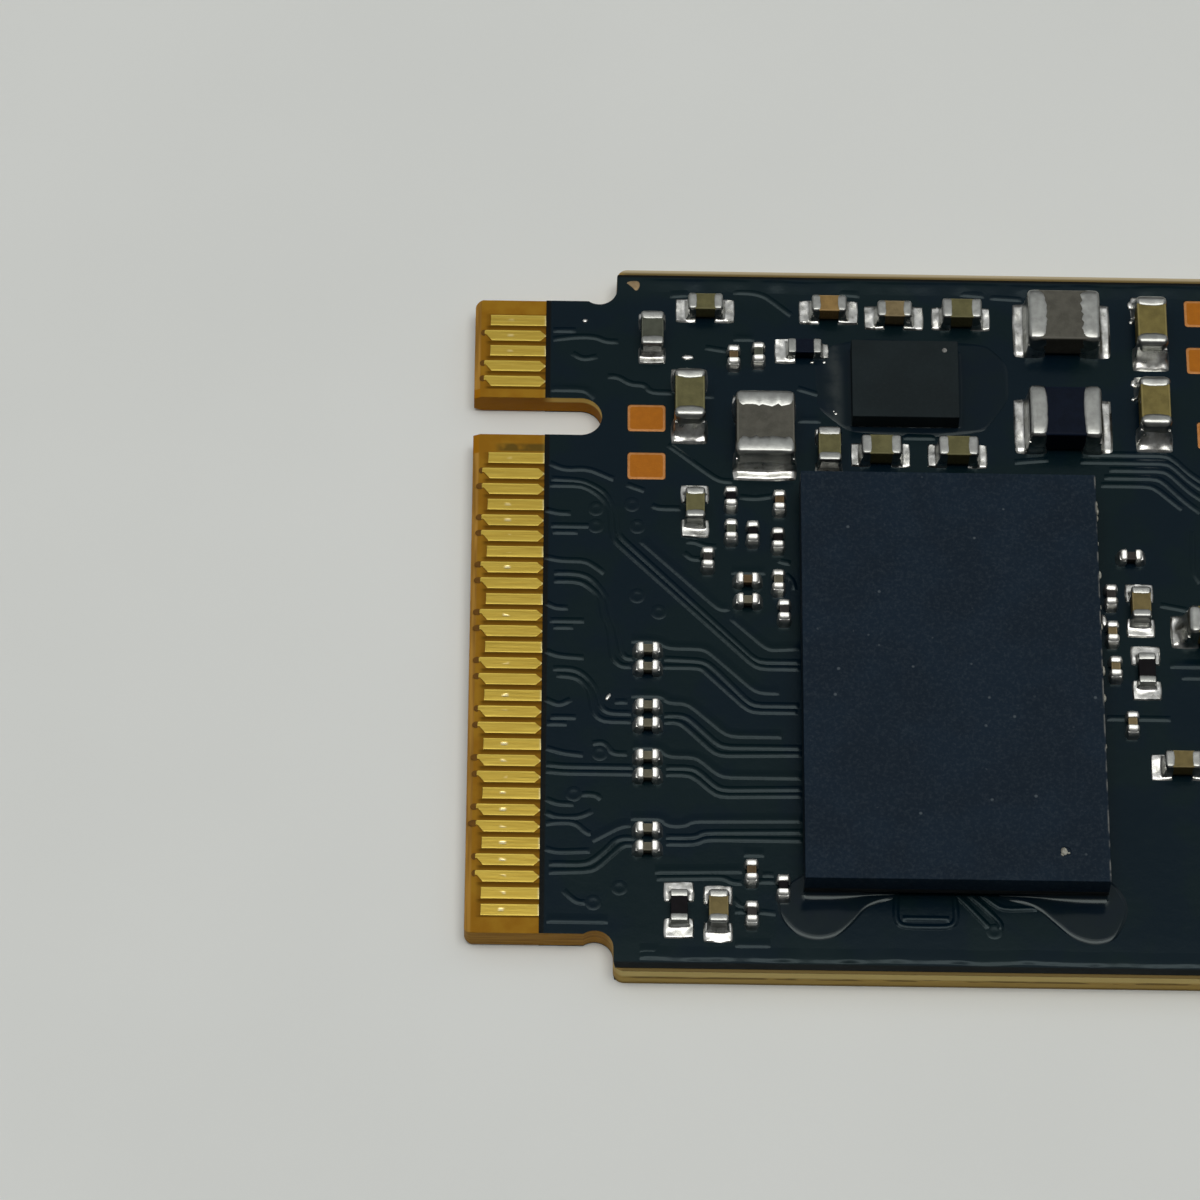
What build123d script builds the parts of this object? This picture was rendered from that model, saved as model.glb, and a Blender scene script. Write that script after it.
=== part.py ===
from build123d import *
import math
import os
from dataclasses import dataclass

# Bare single-sided solid-state drive card with an edge connector, in millimetres.
# X runs from the connector tongue to the screw notch, Y across the card, Z up from the underside.
# The origin is the middle of the underside.

# Card
CARD_LENGTH = 80.0
CARD_WIDTH = 22.0
CARD_THICKNESS = 0.8
CARD_CORNER_RADIUS = 0.3

# Solder mask: a film on each face, the lower one let in so that the card lies on its laminate rim
MASK_THICKNESS = 0.03
UNDERSIDE_CLEARANCE = 0.01
MASK_SETBACK = 0.15
MASK_START = 2.0

# Connector tongue, with a router relief in each shoulder and a bevelled leading edge
TONGUE_LENGTH = 4.0
SHOULDER_STEP = 1.075
TONGUE_CORNER_RADIUS = 0.22
RELIEF_RADIUS = 0.5
RELIEF_DIP = 0.1
BEVEL_LENGTH = 0.2
BEVEL_DEPTH = 0.1

# Key notch in the tongue, measured from the card's centreline
KEY_WIDTH = 1.2
KEY_DEPTH = 3.6
KEY_OFFSET = 6.125

# Contact fingers: pins are counted from the -Y side, odd ones on top and even ones below
PIN_COUNT = 75
PIN_STEP = 0.25
KEY_PINS = range(59, 67)
FIRST_TOP_PIN = 1
FIRST_BOTTOM_PIN = 2
GROUND_PINS = (1, 3, 9, 15, 21, 27, 33, 39, 45, 51, 57, 71, 75)
SUPPLY_PINS = (2, 4, 12, 14, 16, 18, 70, 72, 74)
FINGER_WIDTH = 0.35
FINGER_EDGE_GAP = 0.2
SIGNAL_START = 0.26
SQUARE_START = 0.43
FINGER_POINT = 0.2
STUB_WIDTH = 0.13
NECK_WIDTH = 0.19
NECK_LENGTH = 0.09

# Plated half-round screw notch at the far end
SCREW_RADIUS = 1.75
RING_RADIUS = 2.75

# Bare copper pads in openings of the mask
PAD_LENGTH = 1.06
PAD_WIDTH = 0.86

# Controller: ball-grid package, placed by its left and rear edges
CONTROLLER_LEFT = 9.1
CONTROLLER_REAR = 3.86
CONTROLLER_LENGTH = 8.18
CONTROLLER_WIDTH = 12.54
CONTROLLER_SUBSTRATE = 0.2
CONTROLLER_MOULD = 0.65
CONTROLLER_STANDOFF = 0.2
CONTROLLER_BALL_PITCH = 0.8
CONTROLLER_BALL_INSET = 0.6
CONTROLLER_BALL_DIAMETER = 0.4
DIMPLE_DIAMETER = 0.3
DIMPLE_DEPTH = 0.03
DIMPLE_INSET_X = 1.2
DIMPLE_INSET_Y = 0.87

# Corner bond: a heap of adhesive at each front corner of the controller
BOND_HALF_LENGTH = 1.2
BOND_HALF_WIDTH = 0.95
BOND_HEIGHT = 0.42
BOND_SLOPE_ANGLE = 50
BOND_SIDE_COUNT = 16
BOND_IN = 0.85
BOND_OUT = 0.4

# Power management chip: leadless package with a skirt of underfill
POWER_X = 12.1
POWER_Y = 7.15
POWER_LENGTH = 3.0
POWER_WIDTH = 2.5
POWER_MOULD = 0.57
POWER_STANDOFF = 0.05
POWER_LONG_LEAD_COUNT = 7
POWER_SHORT_LEAD_COUNT = 5
POWER_LEAD_PITCH = 0.4
POWER_LEAD_WIDTH = 0.2
POWER_LEAD_LENGTH = 0.3
HEAT_PAD_INSET = 0.6
UNDERFILL_SKIRT = 0.24
UNDERFILL_HEIGHT = 0.3
UNDERFILL_RIM = 0.05

# Flash memory: two ball-grid packages, spread evenly over the bay behind the controller's parts
FLASH_COUNT = 2
FLASH_LENGTH = 12.0
FLASH_WIDTH = 18.0
FLASH_SUBSTRATE = 0.2
FLASH_MOULD = 0.75
FLASH_STANDOFF = 0.2
FLASH_BALL_PITCH = 1.0
FLASH_BALL_INSET_X = 2.5
FLASH_BALL_INSET_Y = 3.5
FLASH_BALL_DIAMETER = 0.42
FLASH_BAY_START = 24.0
FLASH_BAY_END_GAP = 6.0
FLASH_CHIP_GAP = 1.3
FLASH_CHIP_ROWS = (-3.5, 3.5)

# Chip parts: how far the end terminals stand proud, and the solder under and around them
TERMINAL_PROUD = 0.015
SOLDER_THICKNESS = 0.04
SOLDER_RIM = 0.025


@dataclass(frozen=True)
class ChipSize:
    """Size of a two-terminal chip part and of the solder land at each of its ends."""

    length: float
    width: float
    height: float
    terminal: float
    chamfer: float
    land_out: float
    land_side: float
    climb: float


@dataclass(frozen=True)
class Spot:
    """Place of a chip part on the card and which way it lies.

    x is measured from the leading edge, or from the controller's right edge where the part stands
    behind the controller, and y from the centreline.
    """

    x: float
    y: float
    crosswise: bool = False
    behind_controller: bool = False


INDUCTOR = ChipSize(2.05, 1.68, 0.95, terminal=0.56, chamfer=0.05, land_out=0.36, land_side=0.06, climb=0.5)
BULK = ChipSize(1.66, 0.88, 0.8, terminal=0.38, chamfer=0.07, land_out=0.4, land_side=0.08, climb=0.5)
THICK = ChipSize(1.13, 0.65, 0.62, terminal=0.29, chamfer=0.05, land_out=0.27, land_side=0.06, climb=0.42)
MEDIUM = ChipSize(1.0, 0.55, 0.54, terminal=0.25, chamfer=0.05, land_out=0.34, land_side=0.12, climb=0.36)
RESISTOR = ChipSize(0.95, 0.48, 0.33, terminal=0.24, chamfer=0, land_out=0.37, land_side=0.17, climb=0.25)
SMALL = ChipSize(0.62, 0.31, 0.28, terminal=0.17, chamfer=0, land_out=0.09, land_side=0, climb=0.2)

INDUCTORS = (
    Spot(8.15, 5.5, crosswise=True),
    Spot(16.6, 9.15),
    Spot(16.55, 6.0),
)
BULK_CAPACITORS = (
    Spot(6.05, 6.5, crosswise=True),
    Spot(19.1, 9.1, crosswise=True),
    Spot(19.1, 6.45, crosswise=True),
    Spot(3.25, -0.5, behind_controller=True),
)
THICK_CAPACITORS = (
    Spot(5.0, 8.7, crosswise=True),
    Spot(9.95, 5.0, crosswise=True),
    Spot(13.75, 9.5),
    Spot(11.4, 5.0),
    Spot(13.55, 5.0),
)
MEDIUM_CAPACITORS = (
    Spot(6.5, 9.65),
    Spot(10.0, 9.65),
    Spot(11.85, 9.5),
    Spot(6.2, 3.1, crosswise=True),
    Spot(6.8, -9.3, crosswise=True),
    Spot(1.2, 0.15, crosswise=True, behind_controller=True),
    Spot(2.15, -4.7, behind_controller=True),
)
STRAP_RESISTORS = (
    Spot(9.3, 8.35),
    Spot(5.75, -9.2, crosswise=True),
    Spot(1.3, -1.8, crosswise=True, behind_controller=True),
)
BYPASS_CAPACITORS = (
    Spot(7.3, 8.05, crosswise=True),
    Spot(8.55, 3.35, crosswise=True),
    Spot(8.5, 0.82, crosswise=True),
    Spot(7.65, 0.85),
    Spot(7.65, 0.2),
    Spot(7.7, -8.1, crosswise=True),
    Spot(0.4, -0.65, crosswise=True, behind_controller=True),
    Spot(0.45, -1.75, crosswise=True, behind_controller=True),
    Spot(0.85, -3.45, crosswise=True, behind_controller=True),
)
BIAS_RESISTORS = (
    Spot(8.0, 8.15, crosswise=True),
    Spot(7.2, 3.45, crosswise=True),
    Spot(7.2, 2.4, crosswise=True),
    Spot(7.8, 2.35, crosswise=True),
    Spot(6.55, 1.5, crosswise=True),
    Spot(8.5, 2.15, crosswise=True),
    Spot(8.65, -0.12, crosswise=True),
    Spot(7.7, -9.35, crosswise=True),
    Spot(8.55, -8.55, crosswise=True),
    Spot(1.0, 1.75, behind_controller=True),
    Spot(0.4, 0.5, crosswise=True, behind_controller=True),
)
LANE_COLUMN = 4.9
LANE_PAIRS = (-1.65, -3.4, -4.95, -7.15)
LANE_SPACING = 0.56
BARE_PADS = (
    Spot(4.85, 6.1),
    Spot(4.85, 4.55),
    Spot(20.65, 9.8),
    Spot(20.65, 8.25),
    Spot(20.85, 5.8),
)

# Worked out from the sizes above
NOSE = -CARD_LENGTH / 2
TAIL = CARD_LENGTH / 2
HALF_WIDTH = CARD_WIDTH / 2
TONGUE_HALF = HALF_WIDTH - SHOULDER_STEP
LAMINATE_TOP = CARD_THICKNESS - MASK_THICKNESS
LAMINATE_RECESS = UNDERSIDE_CLEARANCE + MASK_THICKNESS
SOLID = (Align.CENTER, Align.CENTER, Align.MIN)


def from_nose(distance):
    """Model X of a distance measured from the leading edge."""
    return NOSE + distance


def block(x_range, y_range, z_range):
    """Box between two limits on each axis."""
    size = [high - low for low, high in (x_range, y_range, z_range)]
    corner = [low for low, high in (x_range, y_range, z_range)]
    return Pos(*corner) * Box(*size, align=(Align.MIN, Align.MIN, Align.MIN))


def prism(sketch, low, high):
    """Flat outline extruded between two heights."""
    return extrude(Pos(0, 0, low) * sketch, amount=high - low)


def skirt(base, top, height):
    """Tapered block between a base rectangle and a smaller top one, each (x0, x1, half width)."""
    (base_x0, base_x1, base_half), (top_x0, top_x1, top_half) = base, top
    block_on_side = Wedge(
        base_x1 - base_x0,
        height,
        2 * base_half,
        top_x0 - base_x0,
        base_half - top_half,
        top_x1 - base_x0,
        base_half + top_half,
        align=(Align.MIN, Align.MIN, Align.CENTER),
    )
    return Pos(base_x0, 0, 0) * Rot(90, 0, 0) * block_on_side


# Card outline and copper
def shoulder(side):
    """Edge of one side of the card, from the tongue's leading corner to the tail."""
    relief_x = from_nose(TONGUE_LENGTH) - RELIEF_RADIUS
    relief_y = TONGUE_HALF + RELIEF_RADIUS - RELIEF_DIP
    reach = math.sqrt(RELIEF_RADIUS**2 - (RELIEF_RADIUS - RELIEF_DIP) ** 2)
    start = (relief_x - reach, side * TONGUE_HALF)
    middle = (relief_x, side * (TONGUE_HALF - RELIEF_DIP))
    end = (from_nose(TONGUE_LENGTH), side * relief_y)
    corner = (from_nose(TONGUE_LENGTH), side * HALF_WIDTH)
    return [
        Line((NOSE, side * TONGUE_HALF), start),
        ThreePointArc(start, middle, end),
        Line(end, corner),
        Line(corner, (TAIL, side * HALF_WIDTH)),
    ]


def card_outline():
    """Card seen from above, with tongue, shoulders and key notch, before the screw notch."""
    nose_edge = Line((NOSE, -TONGUE_HALF), (NOSE, TONGUE_HALF))
    tail_edge = Line((TAIL, -HALF_WIDTH), (TAIL, HALF_WIDTH))
    outline = make_face([nose_edge, *shoulder(1), tail_edge, *shoulder(-1)])
    corners = outline.vertices()
    outline = fillet(corners.filter_by_position(Axis.X, NOSE, NOSE), TONGUE_CORNER_RADIUS)
    outer = outline.vertices().filter_by_position(Axis.Y, HALF_WIDTH, HALF_WIDTH)
    outer += outline.vertices().filter_by_position(Axis.Y, -HALF_WIDTH, -HALF_WIDTH)
    outline = fillet(outer, CARD_CORNER_RADIUS)
    straight = KEY_DEPTH - KEY_WIDTH / 2
    slot = Pos(NOSE, KEY_OFFSET) * Rectangle(2 * straight, KEY_WIDTH)
    slot += Pos(from_nose(straight), KEY_OFFSET) * Circle(KEY_WIDTH / 2)
    return outline - slot


def mask_outline(card):
    """Film outline: clear of the contacts, set back from the long edges and the tail."""
    length = CARD_LENGTH - MASK_START - MASK_SETBACK
    window = Rectangle(length, CARD_WIDTH - 2 * MASK_SETBACK, align=(Align.MIN, Align.CENTER))
    return card & (Pos(from_nose(MASK_START), 0) * window)


def pad_outline(spot):
    """One bare copper pad."""
    return Pos(from_nose(spot.x), spot.y) * Rectangle(PAD_LENGTH, PAD_WIDTH)


def circuit_board(card):
    """Laminate core, stepped for the films and fingers, with a bevelled nose and a screw notch."""
    board = prism(card, 0, LAMINATE_TOP)
    contact_zone = Rectangle(MASK_START, CARD_WIDTH, align=(Align.MIN, Align.CENTER))
    board -= prism(Pos(NOSE, 0) * contact_zone, 0, LAMINATE_RECESS)
    board -= prism(mask_outline(card) + Pos(TAIL, 0) * Circle(RING_RADIUS), 0, LAMINATE_RECESS)
    board -= prism(Pos(TAIL, 0) * Circle(SCREW_RADIUS + MASK_THICKNESS), 0, CARD_THICKNESS)
    for level, inward in ((LAMINATE_TOP, -1), (LAMINATE_RECESS, 1)):
        face_edge = (NOSE, level + inward * BEVEL_DEPTH)
        bevel = Polyline(face_edge, (NOSE, level), (NOSE + BEVEL_LENGTH, level), close=True)
        wedge = Plane.XZ * make_face(bevel)
        board -= extrude(wedge, amount=HALF_WIDTH, both=True)
    return board


def solder_mask(card, low, pads):
    """Film with openings for the bare pads and the screw ring."""
    film = mask_outline(card) - Pos(TAIL, 0) * Circle(RING_RADIUS)
    for spot in pads:
        film -= pad_outline(spot)
    return prism(film, low, low + MASK_THICKNESS)


def signal_finger():
    """Finger drawn out to a plating stub in front and necked down to its track behind."""
    wide = FINGER_WIDTH / 2
    front = SIGNAL_START + FINGER_POINT
    rear = MASK_START - NECK_LENGTH
    half = [
        (SIGNAL_START, STUB_WIDTH / 2),
        (front, wide),
        (rear, wide),
        (MASK_START, NECK_WIDTH / 2),
    ]
    mirrored = [(x, -y) for x, y in reversed(half)]
    return make_face(Polyline(*half, *mirrored, close=True))


def square_finger():
    """Square-ended ground or supply finger that runs at full width under the mask."""
    length = MASK_START - SQUARE_START
    plate = Rectangle(length, FINGER_WIDTH, align=(Align.MIN, Align.CENTER))
    return Pos(SQUARE_START, 0) * plate


def contact_fingers(first_pin, low):
    """Every second finger from the first pin, leaving out the key and what is off the tongue."""
    fingers = []
    for pin in range(first_pin, PIN_COUNT + 1, 2):
        y = (pin - (PIN_COUNT + 1) / 2) * PIN_STEP
        on_tongue = abs(y) + FINGER_WIDTH / 2 + FINGER_EDGE_GAP <= TONGUE_HALF
        if pin in KEY_PINS or not on_tongue:
            continue
        shape = square_finger() if pin in GROUND_PINS + SUPPLY_PINS else signal_finger()
        fingers.append(prism(Pos(NOSE, y) * shape, low, low + MASK_THICKNESS))
    return Compound(fingers)


def screw_plating():
    """Copper that lines the half-round notch and spreads into a ring on each face."""
    tube = Circle(SCREW_RADIUS + MASK_THICKNESS) - Circle(SCREW_RADIUS)
    ring = Circle(RING_RADIUS) - Circle(SCREW_RADIUS)
    plating = prism(tube, UNDERSIDE_CLEARANCE, CARD_THICKNESS)
    plating += prism(ring, UNDERSIDE_CLEARANCE, LAMINATE_RECESS)
    plating += prism(ring, LAMINATE_TOP, CARD_THICKNESS)
    plating &= block((-RING_RADIUS, 0), (-RING_RADIUS, RING_RADIUS), (0, CARD_THICKNESS))
    return Pos(TAIL, 0) * plating


def bare_pads():
    """Copper pads that fill their openings in the top film."""
    return Compound([prism(pad_outline(spot), LAMINATE_TOP, CARD_THICKNESS) for spot in BARE_PADS])


# Packages
def ball_ring(length, width, inset_x, inset_y, pitch, diameter, height):
    """Outermost ring of a ball grid, each ball squeezed between package and card."""
    columns = int((length - 2 * inset_x) / pitch)
    rows = int((width - 2 * inset_y) / pitch)
    ball = prism(RegularPolygon(diameter / 2, 6), 0, height)
    balls = []
    for column in range(columns + 1):
        for row in range(rows + 1):
            if column in (0, columns) or row in (0, rows):
                place = Pos((column - columns / 2) * pitch, (row - rows / 2) * pitch, CARD_THICKNESS)
                balls.append(place * ball)
    return balls


def controller_centre():
    """Middle of the controller's footprint."""
    x = from_nose(CONTROLLER_LEFT) + CONTROLLER_LENGTH / 2
    return Pos(x, CONTROLLER_REAR - CONTROLLER_WIDTH / 2)


def controller():
    """Moulded cap with its first-pin dimple, substrate, balls and corner bond."""
    seat = CARD_THICKNESS + CONTROLLER_STANDOFF
    cap_seat = seat + CONTROLLER_SUBSTRATE
    top = cap_seat + CONTROLLER_MOULD
    place = controller_centre()
    footprint = Rectangle(CONTROLLER_LENGTH, CONTROLLER_WIDTH)
    dimple_x = CONTROLLER_LENGTH / 2 - DIMPLE_INSET_X
    dimple_y = -CONTROLLER_WIDTH / 2 + DIMPLE_INSET_Y
    mould = prism(footprint, cap_seat, top)
    mould -= prism(Pos(dimple_x, dimple_y) * Circle(DIMPLE_DIAMETER / 2), top - DIMPLE_DEPTH, top)
    balls = ball_ring(
        CONTROLLER_LENGTH,
        CONTROLLER_WIDTH,
        CONTROLLER_BALL_INSET,
        CONTROLLER_BALL_INSET,
        CONTROLLER_BALL_PITCH,
        CONTROLLER_BALL_DIAMETER,
        CONTROLLER_STANDOFF,
    )
    envelope = prism(footprint, CARD_THICKNESS, top)
    bonds = []
    for side in (-1, 1):
        centre = Pos(
            side * (CONTROLLER_LENGTH / 2 - BOND_IN),
            -CONTROLLER_WIDTH / 2 - BOND_OUT,
            CARD_THICKNESS,
        )
        heap = centre * bond_heap()
        bonds.append(place * (heap - envelope))
    return {
        "controller_mould": place * mould,
        "controller_substrate": place * prism(footprint, seat, cap_seat),
        "controller_balls": Compound([place * ball for ball in balls]),
        "controller_corner_bond": Compound([solid for bond in bonds for solid in bond.solids()]),
    }


def bond_heap():
    """Low heap of adhesive on an oval base, with sloping sides and a flat crown."""
    turns = [2 * math.pi * side / BOND_SIDE_COUNT for side in range(BOND_SIDE_COUNT)]
    oval = [(BOND_HALF_LENGTH * math.cos(turn), BOND_HALF_WIDTH * math.sin(turn)) for turn in turns]
    return extrude(make_face(Polyline(*oval, close=True)), amount=BOND_HEIGHT, taper=BOND_SLOPE_ANGLE)


def lead_row(count, offset, quarter_turn):
    """Leads along one side of the leadless package, flush with that side."""
    lead = Rectangle(POWER_LEAD_WIDTH, POWER_LEAD_LENGTH, align=(Align.CENTER, Align.MAX))
    solid = prism(lead, 0, POWER_STANDOFF)
    return [
        Rot(0, 0, 90 * quarter_turn) * Pos((i - (count - 1) / 2) * POWER_LEAD_PITCH, offset, 0) * solid
        for i in range(count)
    ]


def power_chip():
    """Moulded body, leads and heat pad under it, and the skirt of underfill."""
    place = Pos(from_nose(POWER_X), POWER_Y, CARD_THICKNESS)
    body = prism(Rectangle(POWER_LENGTH, POWER_WIDTH), POWER_STANDOFF, POWER_STANDOFF + POWER_MOULD)
    leads = lead_row(POWER_LONG_LEAD_COUNT, POWER_WIDTH / 2, 0)
    leads += lead_row(POWER_LONG_LEAD_COUNT, POWER_WIDTH / 2, 2)
    leads += lead_row(POWER_SHORT_LEAD_COUNT, POWER_LENGTH / 2, 1)
    leads += lead_row(POWER_SHORT_LEAD_COUNT, POWER_LENGTH / 2, 3)
    heat_length = POWER_LENGTH - 2 * HEAT_PAD_INSET
    heat_width = POWER_WIDTH - 2 * HEAT_PAD_INSET
    leads.append(prism(Rectangle(heat_length, heat_width), 0, POWER_STANDOFF))
    reach = POWER_LENGTH / 2 + UNDERFILL_SKIRT
    rim = POWER_LENGTH / 2 + UNDERFILL_RIM
    fill = skirt(
        (-reach, reach, POWER_WIDTH / 2 + UNDERFILL_SKIRT),
        (-rim, rim, POWER_WIDTH / 2 + UNDERFILL_RIM),
        UNDERFILL_HEIGHT,
    )
    fill -= prism(Rectangle(POWER_LENGTH, POWER_WIDTH), 0, UNDERFILL_HEIGHT)
    return {
        "power_chip": place * body,
        "power_chip_leads": Compound([place * lead for lead in leads]),
        "power_chip_underfill": place * fill,
    }


def flash_centres():
    """Model X of each flash package, with equal gaps along the bay."""
    start = from_nose(FLASH_BAY_START)
    bay = TAIL - FLASH_BAY_END_GAP - start
    gap = (bay - FLASH_COUNT * FLASH_LENGTH) / (FLASH_COUNT + 1)
    return [start + gap + FLASH_LENGTH / 2 + i * (FLASH_LENGTH + gap) for i in range(FLASH_COUNT)]


def flash_memory():
    """Flash packages: moulded cap, substrate and ball ring of each."""
    seat = CARD_THICKNESS + FLASH_STANDOFF
    cap_seat = seat + FLASH_SUBSTRATE
    footprint = Rectangle(FLASH_LENGTH, FLASH_WIDTH)
    ring = ball_ring(
        FLASH_LENGTH,
        FLASH_WIDTH,
        FLASH_BALL_INSET_X,
        FLASH_BALL_INSET_Y,
        FLASH_BALL_PITCH,
        FLASH_BALL_DIAMETER,
        FLASH_STANDOFF,
    )
    nodes = {}
    balls = []
    for number, x in enumerate(flash_centres(), start=1):
        place = Pos(x, 0)
        nodes[f"flash_mould_{number}"] = place * prism(footprint, cap_seat, cap_seat + FLASH_MOULD)
        nodes[f"flash_substrate_{number}"] = place * prism(footprint, seat, cap_seat)
        balls += [place * ball for ball in ring]
    nodes["flash_balls"] = Compound(balls)
    return nodes


# Chip parts and their solder
def chip_part(size):
    """Ceramic or ferrite body with an end terminal proud of it all round, lying along X."""
    bottom = SOLDER_THICKNESS
    inner_length = size.length - size.terminal
    inner = Box(
        inner_length,
        size.width - 2 * TERMINAL_PROUD,
        size.height - 2 * TERMINAL_PROUD,
        align=SOLID,
    )
    chip = Pos(0, 0, bottom + TERMINAL_PROUD) * inner
    for side in (-1, 1):
        cap = Box(size.terminal, size.width, size.height, align=SOLID)
        if size.chamfer:
            end_face = cap.faces().sort_by(Axis.X)[-1 if side > 0 else 0]
            cap = chamfer(end_face.edges(), size.chamfer)
        chip += Pos(side * (size.length - size.terminal) / 2, 0, bottom) * cap
    return chip


def solder_joint(size):
    """Solder at the +X end: a land under the terminal and a fillet up its end and sides."""
    end = size.length / 2
    inner = end - size.terminal
    joint = skirt(
        (inner, end + size.land_out, size.width / 2 + size.land_side),
        (inner, end + SOLDER_RIM, size.width / 2 + min(SOLDER_RIM, size.land_side)),
        size.climb,
    )
    pocket = block(
        (inner, end),
        (-size.width / 2, size.width / 2),
        (SOLDER_THICKNESS, size.height + SOLDER_THICKNESS),
    )
    return joint - pocket


def placed(spot):
    """Seat of a chip part on the card."""
    datum = CONTROLLER_LEFT + CONTROLLER_LENGTH if spot.behind_controller else 0
    seat = Pos(from_nose(datum + spot.x), spot.y, CARD_THICKNESS)
    return seat * Rot(0, 0, 90 if spot.crosswise else 0)


def chips(size, spots):
    """One chip part at each spot."""
    chip = chip_part(size)
    return [placed(spot) * chip for spot in spots]


def joints(size, spots):
    """Both solder joints of a chip part at each spot."""
    joint = solder_joint(size)
    return [placed(spot) * Rot(0, 0, turn) * joint for spot in spots for turn in (0, 180)]


def lane_spots():
    """Series capacitors of the lanes: one pair for each, side by side."""
    return [
        Spot(LANE_COLUMN, pair + side * LANE_SPACING / 2)
        for pair in LANE_PAIRS
        for side in (1, -1)
    ]


def flash_spots():
    """Supply capacitors in a row in front of each flash package."""
    return [
        Spot(x - NOSE - FLASH_LENGTH / 2 - FLASH_CHIP_GAP, y, crosswise=True)
        for x in flash_centres()
        for y in FLASH_CHIP_ROWS
    ]


def numbered(name, solids):
    """Separate nodes for like pieces, counted from one."""
    return {f"{name}_{number}": solid for number, solid in enumerate(solids, start=1)}


def chip_nodes():
    """All chip parts, the larger ones as nodes of their own, and their solder by size."""
    lanes = lane_spots()
    flash = flash_spots()
    small = BYPASS_CAPACITORS + BIAS_RESISTORS + tuple(lanes)
    large_joints = joints(INDUCTOR, INDUCTORS) + joints(BULK, BULK_CAPACITORS)
    medium_joints = joints(THICK, THICK_CAPACITORS) + joints(MEDIUM, MEDIUM_CAPACITORS)
    medium_joints += joints(RESISTOR, STRAP_RESISTORS)
    return {
        **numbered("power_inductor", chips(INDUCTOR, INDUCTORS)),
        **numbered("bulk_capacitor", chips(BULK, BULK_CAPACITORS)),
        **numbered("supply_capacitor", chips(THICK, THICK_CAPACITORS)),
        **numbered("decoupling_capacitor", chips(MEDIUM, MEDIUM_CAPACITORS)),
        **numbered("strap_resistor", chips(RESISTOR, STRAP_RESISTORS)),
        **numbered("lane_capacitor", chips(SMALL, lanes)),
        "bypass_capacitors": Compound(chips(SMALL, BYPASS_CAPACITORS)),
        "bias_resistors": Compound(chips(SMALL, BIAS_RESISTORS)),
        "flash_capacitors": Compound(chips(MEDIUM, flash)),
        "solder_joints_large": Compound(large_joints),
        "solder_joints_medium": Compound(medium_joints),
        "solder_joints_small": Compound(joints(SMALL, small)),
        "solder_joints_flash": Compound(joints(MEDIUM, flash)),
    }


def all_nodes():
    """Every piece of the card by name."""
    card = card_outline()
    return {
        "circuit_board": circuit_board(card),
        "solder_mask_top": solder_mask(card, LAMINATE_TOP, BARE_PADS),
        "solder_mask_bottom": solder_mask(card, UNDERSIDE_CLEARANCE, ()),
        "contact_fingers_top": contact_fingers(FIRST_TOP_PIN, LAMINATE_TOP),
        "contact_fingers_bottom": contact_fingers(FIRST_BOTTOM_PIN, UNDERSIDE_CLEARANCE),
        "screw_notch_plating": screw_plating(),
        "bare_pads": bare_pads(),
        **controller(),
        **power_chip(),
        **flash_memory(),
        **chip_nodes(),
    }


os.makedirs("parts", exist_ok=True)
for name, shape in all_nodes().items():
    export_step(shape, f"parts/{name}.step")
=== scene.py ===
"""Looks of a bare solid-state drive card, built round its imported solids.

Meshes are drawn in millimetres in the frame of the solids, with X from the connector to the screw notch.
"""

import logging
import math
from collections.abc import Iterable, Sequence
from dataclasses import dataclass, field
from enum import Enum
from typing import Protocol, TypeAlias

import bmesh
import bpy
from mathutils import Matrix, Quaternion, Vector, noise

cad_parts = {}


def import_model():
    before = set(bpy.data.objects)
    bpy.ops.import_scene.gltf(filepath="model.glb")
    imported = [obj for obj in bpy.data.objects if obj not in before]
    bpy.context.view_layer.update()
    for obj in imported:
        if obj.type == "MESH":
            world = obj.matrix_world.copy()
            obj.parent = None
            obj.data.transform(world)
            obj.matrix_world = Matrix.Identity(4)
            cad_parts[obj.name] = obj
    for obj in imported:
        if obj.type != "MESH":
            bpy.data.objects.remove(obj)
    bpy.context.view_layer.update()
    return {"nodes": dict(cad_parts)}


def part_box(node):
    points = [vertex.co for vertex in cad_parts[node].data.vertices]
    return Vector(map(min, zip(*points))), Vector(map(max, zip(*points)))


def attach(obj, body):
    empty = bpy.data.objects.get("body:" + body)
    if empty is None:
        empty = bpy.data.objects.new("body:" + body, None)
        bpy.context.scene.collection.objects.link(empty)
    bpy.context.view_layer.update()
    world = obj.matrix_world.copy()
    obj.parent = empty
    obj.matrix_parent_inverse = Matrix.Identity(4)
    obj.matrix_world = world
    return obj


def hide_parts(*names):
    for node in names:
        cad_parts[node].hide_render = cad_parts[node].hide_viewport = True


MM = 0.001
BODY = "root"

# The card: its leading edge, its top face, and a whole number of contact pitches that keeps Y positive
NOSE = -40.0
CARD_TOP = 0.8
Y_SHIFT = 20.0

# Meshes: which angles are sharp, flat or creased, and how corners are merged, cut and mitred
SHARP_ANGLE = math.radians(50)
FLAT_ANGLE = math.radians(1)
CREASE_ANGLE = math.radians(28)
MERGE_GAP = 0.0005
SLACK = 0.01
CUT_SHARE = 0.25
CUT_LONGEST = 0.14
MITRE_LIMIT = 0.3
SEED_SKEW = 2.7
ROUND_STEPS = 20

# Colour sockets of a Mix node, by number
MIX_SHARE = 0
MIX_FIRST = 6
MIX_SECOND = 7
MIX_RESULT = 2

Colour = tuple[float, float, float]
Point2 = tuple[float, float]
Span = tuple[float, float]
Number: TypeAlias = "float | Wire"

log = logging.getLogger("card")


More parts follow.
